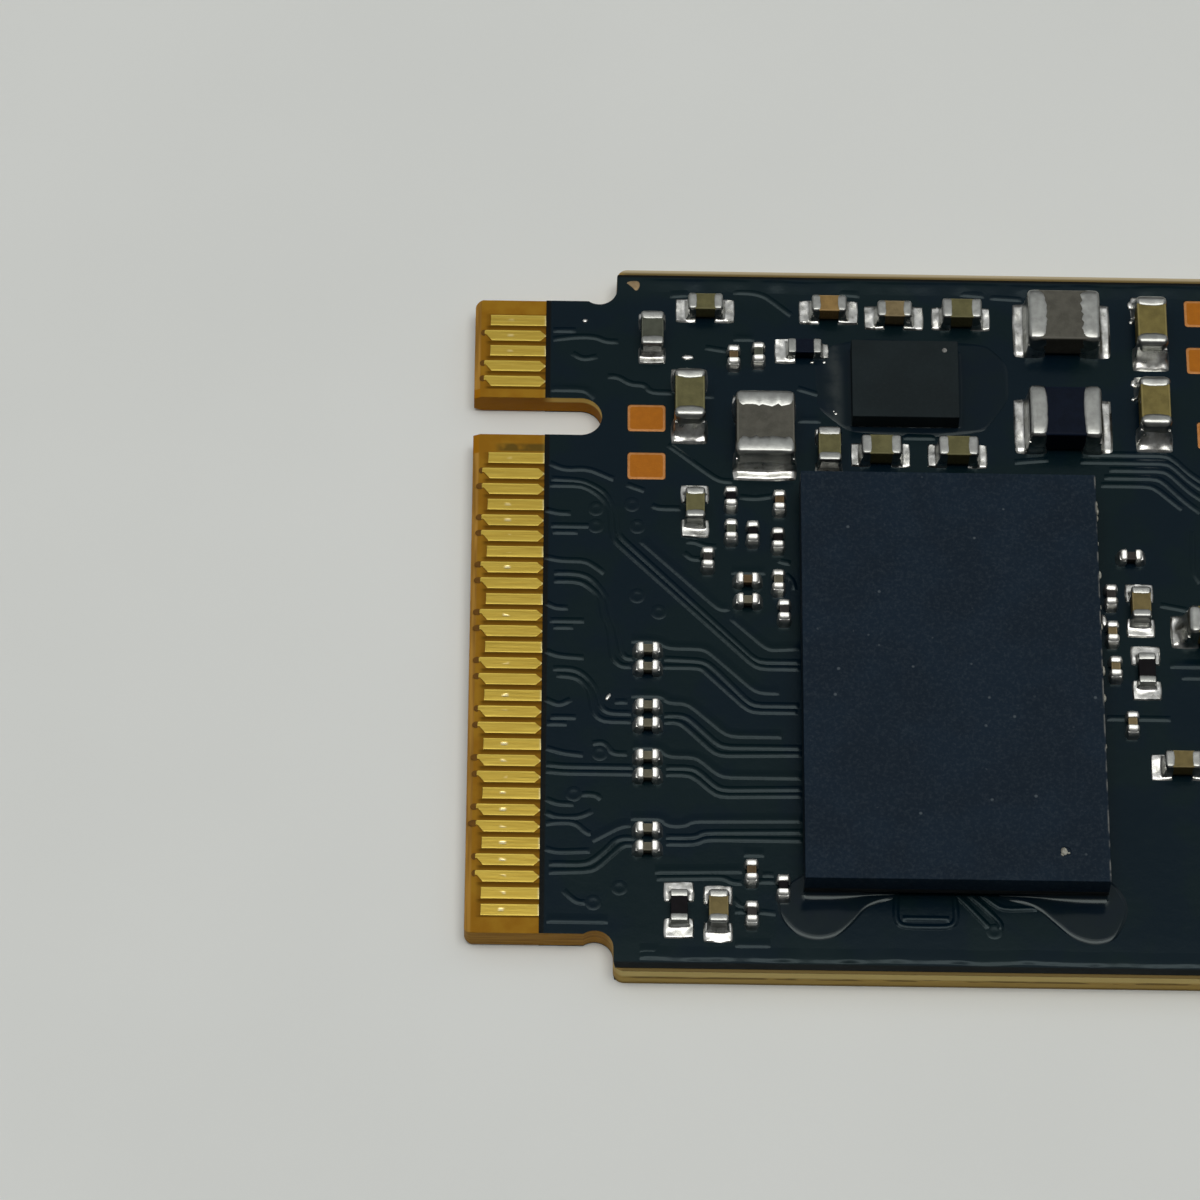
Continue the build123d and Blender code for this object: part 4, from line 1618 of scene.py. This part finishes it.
@dataclass
class Packages:
    """Moulded caps, substrates and leads."""

    solids: Solids
    palette: Palette
    mould_round: float = 0.022
    substrate_round: float = 0.01
    dot_radius: float = 0.07
    dot_place: Point2 = (13.22, 8.09)
    dot_height: float = 0.006
    dot_profile: tuple = ((1.0, -0.004), (1.0, 0.5), (0.9, 1.0), (0.5, 1.0))
    dot_pale: Colour = (0.22, 0.22, 0.205)
    dot_dirty: Colour = (0.10, 0.10, 0.095)

    def build(self) -> None:
        """Dresses the controller, the power chip and the flash packages."""
        slate = self.palette.get(MouldFinish(MouldTone.SLATE))
        charcoal = self.palette.get(MouldFinish(MouldTone.CHARCOAL))
        substrate = self.palette.get(SubstrateFinish())
        # Painted shade: the power chip's leads in near-black metal
        dull = self.palette.get(SilverFinish(MetalTone.SHADED))
        for node, width, finish, slot in (
            ("controller_mould", self.mould_round, slate, "mould"),
            ("controller_substrate", self.substrate_round, substrate, "substrate"),
            ("power_chip", self.mould_round, charcoal, "mould"),
            ("power_chip_leads", self.substrate_round, dull, "solder"),
            ("flash_mould_1", self.mould_round, charcoal, "mould"),
            ("flash_mould_2", self.mould_round, charcoal, "mould"),
            ("flash_substrate_1", self.substrate_round, substrate, "substrate"),
            ("flash_substrate_2", self.substrate_round, substrate, "substrate"),
        ):
            fitted(softened(self.solids, node, width, finish), slot, node)
        for node in ("controller_balls", "flash_balls"):
            BallGrid(self.solids, self.palette, node).build()
        self.first_pin_dot()

    def first_pin_dot(self) -> None:
        """Printed dot that marks the first pin of the power chip."""
        top = self.solids.box("power_chip").high.z
        middle = (self.dot_place[0] + NOSE, self.dot_place[1])
        rings = []
        for share, up in self.dot_profile:
            rings.append(circle(middle, share * self.dot_radius, top + up * self.dot_height))
        draft = Draft()
        draft.loft(rings)
        ink = self.palette.get(ResidueFinish(self.dot_pale, self.dot_dirty))
        fitted(draft.piece("first_pin_dot", [ink]), "mould")


# Outlines of the adhesive, from the leading edge and the centreline
LEFT_BOND = (
    (9.05, -8.1), (8.7, -8.35), (8.4, -8.8), (8.4, -9.25), (8.6, -9.6), (8.95, -9.92), (9.35, -10.05),
    (9.8, -10.0), (10.1, -9.85), (10.45, -9.5), (10.75, -9.1), (11.15, -8.9), (11.65, -8.72),
)
RIGHT_BOND = (
    (14.35, -8.72), (14.85, -8.82), (15.4, -9.05), (15.85, -9.5), (16.3, -9.9), (16.8, -10.08),
    (17.2, -10.02), (17.5, -9.85), (17.8, -9.2), (17.8, -8.8), (17.6, -8.4), (17.33, -8.1),
)
HALO = (
    (9.6, 8.1), (9.65, 6.5), (10.5, 5.75), (12.8, 5.6), (14.35, 5.8), (15.05, 6.85), (15.05, 8.0),
    (14.5, 8.65), (13.4, 8.75), (11.0, 8.8), (10.1, 8.6),
)
UNDERFILL = AdhesiveFinish(
    deep=(0.0048, 0.0108, 0.0178),
    thin=(0.0052, 0.0116, 0.0165),
    gloss=0.11,
    cloud_at=(10.6, 5.9),
    cloud_reach=0.42,
)


@dataclass
class AdhesiveFilm:
    """Adhesive that has run out round a package and climbs its wall."""

    solids: Solids
    palette: Palette
    name: str
    node: str
    package: str
    outlines: tuple
    wall_height: float
    looped: bool
    rim_height: float = 0.034
    rim_reach: float = 0.14
    steps: int = 18
    inside: float = 0.06
    thin_reach: float = 0.3
    climb_power: int = 18
    lump_height: float = 0.007
    sunk: float = 0.005
    finish: AdhesiveFinish = AdhesiveFinish()

    def build(self) -> None:
        """One film for each outline, from the leading edge and the centreline."""
        wall = self.solids.box(self.package)
        draft = Draft()
        for outline in self.outlines:
            rings = [self.section(point, wall) for point in smoothed(outline, 3, self.looped)]
            draft.loft(rings, looped=self.looped)
        piece = draft.piece(self.name, [self.palette.get(self.finish)])
        fitted(piece, "adhesive", self.node)

    def section(self, rim: Vector, wall: Box) -> list[Vector]:
        """Closed section from a point of the rim to the wall.

        Args:
            rim: Point of the outline, from the leading edge and the centreline.
            wall: Box of the package.

        Returns:
            Points up over the film, into the wall and back along the card.
        """
        start = Vector((rim.x + NOSE, rim.y))
        end = Vector(
            (
                min(max(start.x, wall.low.x + self.inside), wall.high.x - self.inside),
                min(max(start.y, wall.low.y + self.inside), wall.high.y - self.inside),
            )
        )
        reach = (end - start).length
        ring = []
        for i in range(self.steps + 1):
            share = 0.5 - 0.5 * math.cos(math.pi * i / self.steps)
            place = start.lerp(end, share)
            rim_share = 1 - min(1.0, share * reach / self.rim_reach)
            film = self.rim_height * (1 - rim_share**2) * min(1.0, reach / self.thin_reach)
            climb = (self.wall_height - self.rim_height) * share**self.climb_power
            lump = self.lump_height * ripple(place.to_3d(), waves=1.6, seed=9.0) * min(1.0, 4 * share)
            ring.append(Vector((*place, CARD_TOP + max(0.0, film + climb + lump))))
        ring.append(Vector((*end, CARD_TOP - self.sunk)))
        ring.append(Vector((*start, CARD_TOP - self.sunk)))
        return ring


# Chip parts
@dataclass(frozen=True)
class Seat:
    """Local frame of a chip part: X along it, Y across, Z up from the card's top."""

    centre: Vector
    crosswise: bool
    length: float
    width: float
    low: float
    high: float

    @staticmethod
    def of(box: Box) -> "Seat":
        """Seat of a chip part, with its length along the longer side.

        Args:
            box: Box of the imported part.

        Returns:
            The seat.
        """
        size, centre = box.size, box.centre
        crosswise = size.y > size.x
        length, width = (size.y, size.x) if crosswise else (size.x, size.y)
        low, high = box.low.z - CARD_TOP, box.high.z - CARD_TOP
        return Seat(Vector((centre.x, centre.y)), crosswise, length, width, low, high)

    def point(self, x: float, y: float, z: float) -> Vector:
        """Point of the card at a local place."""
        dx, dy = (-y, x) if self.crosswise else (x, y)
        return Vector((self.centre.x + dx, self.centre.y + dy, CARD_TOP + z))

    def local(self, place: Vector) -> Vector:
        """Local place of a point of the card.

        Args:
            place: The point.

        Returns:
            Its place along and across the part, and its height over the card.
        """
        dx, dy = place.x - self.centre.x, place.y - self.centre.y
        x, y = (dy, -dx) if self.crosswise else (dx, dy)
        return Vector((x, y, place.z - CARD_TOP))


@dataclass
class ChipFamily:
    """Two-terminal chip parts of one size, with the solder that holds them."""

    solids: Solids
    palette: Palette
    nodes: dict
    joints: str
    slot: str
    terminal: float
    dome: float
    proud: float
    ragged: float
    bow: float = 0.0
    corner: float = 0.07
    arc: int = 4
    flat: int = 5
    lip: float = 0.02
    film: float = 0.045
    film_rim: float = 0.04
    roundness: float = 0.1
    climb_power: float = 12.0
    climb_share: float = 0.55
    aside: float = 0.05
    pillow: float = 0.012
    crown: float = 0.012
    swell: float = 0.0
    dip: float = 0.3
    lumpy: float = 0.022
    plating: MetalTone = MetalTone.TIN
    scant: tuple[str, int] = ("", 0)
    lean: float = 0.0
    taper: float = 0.0
    body_lap: float = 0.45
    body_corner: float = 0.7
    least_corner: float = 0.012
    least_out: float = 0.04
    scant_share: float = 0.6
    columns: int = 22
    rows: int = 20

    def build(self, solder: Draft) -> None:
        """Dresses every part of the family.

        Args:
            solder: Mesh that takes the solder of the family's joints.
        """
        lands = self.solids.each(self.joints)
        tin = self.palette.get(SilverFinish(self.plating))
        for node, tones in self.nodes.items():
            kinds = list(dict.fromkeys(tones))
            draft = Draft()
            for number, box in enumerate(self.solids.each(node)):
                seat = Seat.of(box)
                self.body(draft, seat, 1 + kinds.index(tones[number % len(tones)]))
                for side in (-1, 1):
                    self.cap(draft, seat, side)
                for land in lands:
                    if land.meets(box):
                        self.fillet(solder, seat, land, node)
            materials = [tin, *(self.palette.get(CeramicFinish(tone)) for tone in kinds)]
            fitted(draft.piece(node + "_fired", materials), self.slot, node)

    def section(self, seat: Seat, depth: float, radius: float) -> list[Point2]:
        """Rounded section across a part, taken in all round by a depth."""
        low, high = seat.low + depth, seat.high - depth
        return rounded_section(seat.width / 2 - depth, low, high, radius, self.arc, self.flat)

    def body(self, draft: Draft, seat: Seat, finish: int) -> None:
        """Ceramic body between the terminals, its ends hidden in them.

        Args:
            draft: Mesh that takes the body.
            seat: Seat of the part.
            finish: Number of the body's finish.
        """
        half = seat.length / 2 - self.terminal * self.body_lap
        section = self.section(seat, self.proud, self.corner * self.body_corner)
        stations = (-half, -half / 2, 0.0, half / 2, half)
        draft.loft([[seat.point(x, y, z) for y, z in section] for x in stations], finish)

    def cap(self, draft: Draft, seat: Seat, side: int) -> None:
        """End terminal with a domed end and an uneven inner edge.

        Args:
            draft: Mesh that takes the terminal.
            seat: Seat of the part.
            side: 1 for the terminal at the far end of the part, -1 for the other.
        """
        end = seat.length / 2 + self.swell
        inner = end - self.terminal
        shoulder = end - self.dome
        level_from = inner + self.lip
        # Stations along the terminal: place, depth of its skin, and how far it follows the uneven edge
        stations = [(inner, self.proud + 0.004, 1.0), (inner + self.lip * 0.4, self.proud * 0.25, 0.96)]
        for i in range(4):
            share = i / 4
            stations.append((level_from + share * (shoulder - level_from), 0.0, 0.9 * (1 - share)))
        for i in range(6):
            turn = math.pi / 2 * i / 5
            at = end - self.dome * (1 - math.sin(turn))
            stations.append((at, self.dome * (1 - math.cos(turn)), 0.0))
        rings = []
        for x, depth, loose in stations:
            depth += self.pillow * (2 * (x - inner) / self.terminal - 1) ** 2 - self.swell
            ring = []
            for y, z in self.section(seat, depth, max(self.corner - 0.3 * depth, self.least_corner)):
                share = 2 * y / seat.width
                z -= self.crown * share**6 if z > seat.low + depth + self.corner else 0.0
                ahead = side * (x - inner - self.terminal / 2) if seat.crosswise else y
                z += self.lean * ahead if z > (seat.low + seat.high) / 2 else 0.0
                spot = seat.point(side * inner, y, z)
                wander = ripple(spot, waves=5.0, seed=1.0) + 0.6 * ripple(spot, waves=13.0, seed=4.0)
                shift = self.ragged * wander + self.bow * (1 - share * share)
                ring.append(seat.point(side * (x - loose * shift), y, z))
            rings.append(ring)
        draft.loft(rings)

    def fillet(self, draft: Draft, seat: Seat, land: Box, node: str) -> None:
        """Solder on one land, drawn up the end and the sides of its terminal.

        Args:
            draft: Mesh that takes the solder.
            seat: Seat of the chip part.
            land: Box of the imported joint.
            node: Name of the node that the part belongs to.
        """
        ends = [seat.local(land.low), seat.local(land.high)]
        side = 1 if ends[0].x + ends[1].x > 0 else -1
        inner, outer = sorted(abs(end.x) for end in ends)
        half = max(abs(end.y) for end in ends)
        climb = seat.low + self.climb_share * (seat.high - seat.low)
        film, rim = self.film, self.film_rim
        outer += 0.7 * self.swell
        end = seat.length / 2 + self.swell
        out = max(outer - end, self.least_out)
        aside = max(half - seat.width / 2, self.aside) + self.swell
        half = seat.width / 2 + aside
        if (node, side) == self.scant:
            outer, half = end + self.scant_share * out, self.scant_share * half
        middle, reach = (inner + outer) / 2, (outer - inner) / 2
        grid = []
        for i in range(self.rows + 1):
            v = -1 + 2 * i / self.rows
            row = []
            for k in range(self.columns + 1):
                u = -1 + 2 * k / self.columns
                x = middle + reach * u * math.sqrt(1 - self.roundness * v * v)
                y = half * v * math.sqrt(1 - self.roundness * u * u) * (1 - self.taper * max(0.0, u))
                border = min((1 - abs(u)) * reach, (1 - abs(v)) * half)
                share = 1 - min(1.0, border / rim)
                level = film * math.sqrt(max(0.0, 1 - share * share))
                ahead = max(0.0, x - end + 0.02) / out
                beside = max(0.0, abs(y) - seat.width / 2 + 0.01) / aside
                near = max(0.0, 1 - math.hypot(ahead, beside))
                spot = seat.point(side * x, y, 0)
                waves = 1.5 * ripple(spot, 1.4, 7.0) + ripple(spot, 2.6, 7.0) + 0.5 * ripple(spot, 6.0, 3.0)
                lump = self.lumpy * waves * min(1.0, 2 * border / rim)
                power = self.climb_power * (1 - self.dip * (1 - v * v))
                rise = (climb - film) * near**power * min(1.0, border / (0.6 * rim))
                row.append(seat.point(side * x, y, max(0.0, level + rise + lump)))
            grid.append(row)
        draft.sheet(grid)


@dataclass
class ChipParts:
    """All chip parts of the card and their solder."""

    solids: Solids
    palette: Palette
    fine_joints: str = "solder_joints_small"

    def build(self) -> None:
        """Dresses the families, and the solder of each packed joint node as one piece."""
        solder: dict[str, Draft] = {}
        for family in self.families():
            family.build(solder.setdefault(family.joints, Draft()))
        for node, draft in solder.items():
            tone = MetalTone.FINE if node == self.fine_joints else MetalTone.SOLDER
            fitted(draft.piece(node + "_fillets", [self.palette.get(SilverFinish(tone))]), "solder", node)

    def families(self) -> list[ChipFamily]:
        """Families of chip parts, largest first.

        Returns:
            The families.
        """
        tone = CeramicTone

        def single(name: str, tones: Sequence[CeramicTone]) -> dict:
            """Numbered nodes of one name, each with its own tone."""
            return {f"{name}_{number}": (each,) for number, each in enumerate(tones, start=1)}

        brown, umber, rust = tone.BROWN, tone.UMBER, tone.RUST
        grey, black, dusk = tone.GREY, tone.BLACK, tone.DUSK
        small = {
            "bypass_capacitors": (brown, brown, umber, brown, umber, brown, rust, rust, rust),
            "bias_resistors": (grey, black, grey, black, dusk, black, dusk, dusk, black, dusk, dusk),
        }
        common = {"solids": self.solids, "palette": self.palette}
        inductor = {
            **common,
            "joints": "solder_joints_large",
            "slot": "ferrite",
            "corner": 0.11,
            "pillow": 0.03,
            "crown": 0.05,
        }
        capacitor = {
            **common,
            "slot": "ceramic",
            "dome": 0.08,
            "proud": 0.015,
            "ragged": 0.014,
            "bow": 0.02,
            "flat": 7,
        }
        return [
            ChipFamily(
                **inductor,
                nodes={"power_inductor_1": (tone.FERRITE,), "power_inductor_2": (tone.FERRITE,)},
                terminal=0.55,
                dome=0.11,
                proud=0.03,
                ragged=0.10,
                flat=16,
                lip=0.06,
                film=0.06,
                film_rim=0.10,
            ),
            ChipFamily(
                **inductor,
                nodes={"power_inductor_3": (tone.INK,)},
                terminal=0.49,
                dome=0.12,
                proud=0.05,
                ragged=0.02,
                bow=0.05,
                flat=10,
                lip=0.07,
                film=0.07,
                film_rim=0.16,
            ),
            ChipFamily(
                **common,
                nodes=single("bulk_capacitor", (tone.OLIVE, tone.KHAKI, tone.KHAKI, tone.KHAKI)),
                joints="solder_joints_large",
                slot="ceramic",
                terminal=0.33,
                dome=0.17,
                proud=0.024,
                ragged=0.018,
                bow=0.07,
                corner=0.11,
                flat=8,
                lip=0.045,
                film=0.07,
                film_rim=0.14,
                climb_power=5.0,
                dip=0.6,
                pillow=0.022,
                lumpy=0.034,
            ),
            ChipFamily(
                **capacitor,
                nodes=single("supply_capacitor", (grey, *(tone.OLIVE,) * 4)),
                joints="solder_joints_medium",
                terminal=0.27,
            ),
            ChipFamily(
                **capacitor,
                nodes=single(
                    "decoupling_capacitor",
                    (tone.OLIVE, tone.AMBER, rust, tone.OLIVE, tone.TAN, tone.TAN, tone.TAN),
                ),
                joints="solder_joints_medium",
                terminal=0.24,
            ),
            ChipFamily(
                **common,
                nodes=single("strap_resistor", (tone.INK, black, black)),
                scant=("strap_resistor_1", 1),
                joints="solder_joints_medium",
                slot="resistor",
                terminal=0.23,
                dome=0.04,
                proud=0.014,
                ragged=0.012,
                corner=0.035,
                flat=6,
            ),
            ChipFamily(
                **capacitor,
                nodes={"flash_capacitors": (tone.OLIVE,)},
                joints="solder_joints_flash",
                terminal=0.24,
            ),
            ChipFamily(
                **common,
                nodes={**single("lane_capacitor", (umber,) * 8), **small},
                joints="solder_joints_small",
                slot="ceramic",
                terminal=0.225,
                dome=0.13,
                proud=0.028,
                ragged=0.010,
                flat=4,
                film=0.05,
                film_rim=0.05,
                climb_power=0.6,
                climb_share=0.85,
                aside=0.02,
                pillow=0.010,
                swell=0.030,
                dip=0.0,
                lumpy=0.012,
                lean=0.2,
                taper=0.3,
                plating=MetalTone.SATIN,
            ),
        ]


@dataclass
class Crumbs:
    """Stray solder on the card and pale crumbs along the controller's right edge."""

    solids: Solids
    palette: Palette
    solder_spots: tuple = (
        (3.1, 9.26, 0.07, 0.07, 0.0),
        (6.0, 8.1, 0.17, 0.08, 0.0),
        (3.82, -2.77, 0.12, 0.06, 1.05),
        (18.58, 10.04, 0.07, 0.13, 0.0),
        (18.6, 9.48, 0.07, 0.07, 0.0),
        (18.58, 7.45, 0.08, 0.12, 0.0),
        (18.56, 6.93, 0.06, 0.06, 0.0),
        (17.48, -0.2, 0.10, 0.2, 0.2),
        (9.52, 8.0, 0.06, 0.05, 0.0),
        (9.86, 8.0, 0.06, 0.05, 0.4),
        (10.17, 6.32, 0.06, 0.05, 0.0),
        (10.11, 6.4, 0.04, 0.04, 0.0),
    )
    edge_spots: tuple = (
        (2.95, 0.07),
        (2.74, 0.11),
        (2.5, 0.08),
        (1.7, 0.05),
        (0.72, 0.11),
        (-0.3, 0.05),
        (-0.9, 0.08),
        (-2.27, 0.11),
        (-3.11, 0.10),
        (-4.6, 0.06),
    )
    dimple: Point2 = (-1.2, 0.87)
    dimple_spots: tuple = (
        (-0.03, 0.03, 0.09, 0.12, 0.3),
        (-0.09, -0.08, 0.05, 0.05, 0.0),
        (0.09, -0.03, 0.04, 0.03, 0.0),
    )
    dimple_depth: float = 0.03
    dimple_crumb: float = 0.035
    edge_drop: float = 0.07
    edge_crumb: float = 0.055
    drop_profile: tuple = ((1.0, -0.08), (1.0, 0.05), (0.94, 0.42), (0.75, 0.74), (0.45, 0.94), (0.15, 1.0))
    drop_sides: int = 16
    drop_swing: float = 0.25

    def build(self) -> None:
        """Places both kinds of crumbs."""
        draft = Draft()
        for x, y, long, wide, turn in self.solder_spots:
            self.blob(draft, Vector((x + NOSE, y, CARD_TOP)), long, wide, 0.6 * min(long, wide), turn)
        bright = self.palette.get(SilverFinish(MetalTone.SOLDER))
        fitted(draft.piece("stray_solder", [bright]), "solder")
        package = self.solids.box("controller_mould")
        draft = Draft()
        for y, size in self.edge_spots:
            place = Vector((package.high.x, y, package.high.z - self.edge_drop))
            self.blob(draft, place, 0.6 * size, 1.3 * size, self.edge_crumb, 0.0)
        right, front = package.high.x + self.dimple[0], package.low.y + self.dimple[1]
        centre = Vector((right, front, package.high.z - self.dimple_depth))
        for x, y, long, wide, turn in self.dimple_spots:
            self.blob(draft, centre + Vector((x, y, 0)), long, wide, self.dimple_crumb, turn)
        fitted(draft.piece("edge_crumbs", [self.palette.get(ResidueFinish())]), "adhesive")

    def blob(self, draft: Draft, place: Vector, long: float, wide: float, height: float, turn: float) -> None:
        """Low uneven drop.

        Args:
            draft: Mesh that takes the drop.
            place: Middle of its foot.
            long: Half length.
            wide: Half width.
            height: Height of its crown.
            turn: Turn about the vertical, in radians.
        """
        cos, sin = math.cos(turn), math.sin(turn)
        rings = []
        for share, up in self.drop_profile:
            ring = []
            for way in circle((0.0, 0.0), 1.0, 0.0, self.drop_sides):
                spread = share * (1 + self.drop_swing * ripple(place + way, waves=1.3, seed=2.0))
                x, y = long * spread * way.x, wide * spread * way.y
                ring.append(place + Vector((x * cos - y * sin, x * sin + y * cos, up * height)))
            rings.append(ring)
        draft.loft(rings)


# Studio
WARM_WHITE = (1.0, 0.985, 0.96)
COOL_WHITE = (0.97, 0.985, 1.0)


@dataclass(frozen=True)
class Lamp:
    """Soft light panel over the card, leant by degrees and turned about the vertical."""

    name: str
    place: tuple[float, float, float]
    wide: float
    deep: float
    lean: float
    watts: float
    colour: Colour
    turn: float = 0.0

    def build(self) -> None:
        """Adds the light."""
        data = bpy.data.lights.new(self.name, "AREA")
        data.shape = "RECTANGLE"
        data.size = self.wide
        data.size_y = self.deep
        data.energy = self.watts
        data.color = self.colour
        lamp = bpy.data.objects.new(self.name, data)
        lamp.location = self.place
        lamp.rotation_euler = (math.radians(self.lean), 0.0, -math.radians(self.turn))
        bpy.context.scene.collection.objects.link(lamp)


@dataclass
class Studio:
    """Camera at the photographed view, pale floor and soft light."""

    palette: Palette
    eye: tuple[float, float, float] = (-0.038628, -0.076712, 0.140812)
    azimuth: float = 1.642
    elevation: float = 61.193
    roll: float = 2.269
    lens: float = 173.85
    sensor: float = 36.0
    clip: Point2 = (0.005, 20.0)
    floor_half: float = 1.5
    sky: Colour = (0.96, 0.98, 1.0)
    sky_strength: float = 0.09
    lamps: tuple = (
        Lamp("key_lamp", (-0.03, -0.015, 0.66), 0.60, 0.24, 0.0, 2.05, WARM_WHITE),
        Lamp("key_rear_lamp", (-0.03, 0.165, 0.66), 0.60, 0.12, 0.0, 0.36, WARM_WHITE),
        Lamp("key_front_lamp", (-0.03, -0.215, 0.66), 0.60, 0.16, 0.0, 0.32, WARM_WHITE),
        Lamp("back_lamp", (0.0, 0.42, 0.70), 0.70, 0.50, -31.0, 0.45, COOL_WHITE),
        Lamp("left_lamp", (-0.66, 0.40, 0.50), 0.70, 0.70, -56.0, 0.62, COOL_WHITE, -58.8),
        Lamp("right_lamp", (0.60, 0.40, 0.50), 0.70, 0.70, -56.0, 0.62, COOL_WHITE, 56.3),
    )

    def build(self) -> None:
        """Sets up the whole studio."""
        self.camera()
        self.floor()
        self.light()

    def camera(self) -> None:
        """Camera where the photograph was taken."""
        data = bpy.data.cameras.new("photo_camera")
        data.lens = self.lens
        data.sensor_width = self.sensor
        data.clip_start, data.clip_end = self.clip
        data.dof.use_dof = False
        camera = bpy.data.objects.new("photo_camera", data)
        turn, tilt = math.radians(self.azimuth), math.radians(self.elevation)
        ahead = Vector((math.sin(turn) * math.cos(tilt), math.cos(turn) * math.cos(tilt), -math.sin(tilt)))
        level = ahead.to_track_quat("-Z", "Y")
        camera.location = self.eye
        camera.rotation_mode = "QUATERNION"
        camera.rotation_quaternion = level @ Quaternion((0, 0, 1), math.radians(self.roll))
        bpy.context.scene.collection.objects.link(camera)
        bpy.context.scene.camera = camera

    def floor(self) -> None:
        """Plain table top under the card."""
        mesh = bpy.data.meshes.new("floor")
        half = self.floor_half
        corners = [(-half, -half, 0), (half, -half, 0), (half, half, 0), (-half, half, 0)]
        mesh.from_pydata(corners, [], [range(len(corners))])
        mesh.materials.append(self.palette.get(FloorFinish()))
        floor = bpy.data.objects.new("floor", mesh)
        bpy.context.scene.collection.objects.link(floor)

    def light(self) -> None:
        """Even sky and soft lamps."""
        scene = bpy.context.scene
        scene.view_settings.view_transform = "Standard"
        world = bpy.data.worlds.new("soft_sky")
        world.use_nodes = True
        sky = world.node_tree.nodes["Background"]
        sky.inputs["Color"].default_value = (*self.sky, 1.0)
        sky.inputs["Strength"].default_value = self.sky_strength
        scene.world = world
        for lamp in self.lamps:
            lamp.build()


def main() -> None:
    """Builds the dressed card and its studio."""
    logging.basicConfig(level=logging.INFO, format="%(message)s")
    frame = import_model()
    solids = Solids(frame["nodes"])
    palette = Palette()
    common = {"solids": solids, "palette": palette}
    Studio(palette).build()
    Card(**common).build()
    TrackRelief(palette).build()
    Packages(**common).build()
    AdhesiveFilm(
        **common,
        name="corner_bond_film",
        node="controller_corner_bond",
        package="controller_substrate",
        outlines=(LEFT_BOND, RIGHT_BOND),
        wall_height=0.17,
        looped=False,
    ).build()
    AdhesiveFilm(
        **common,
        name="underfill_film",
        node="power_chip_underfill",
        package="power_chip",
        outlines=(HALO,),
        wall_height=0.14,
        looped=True,
        rim_height=0.024,
        rim_reach=0.2,
        finish=UNDERFILL,
    ).build()
    ChipParts(**common).build()
    Crumbs(**common).build()


if __name__ == "__main__":
    main()
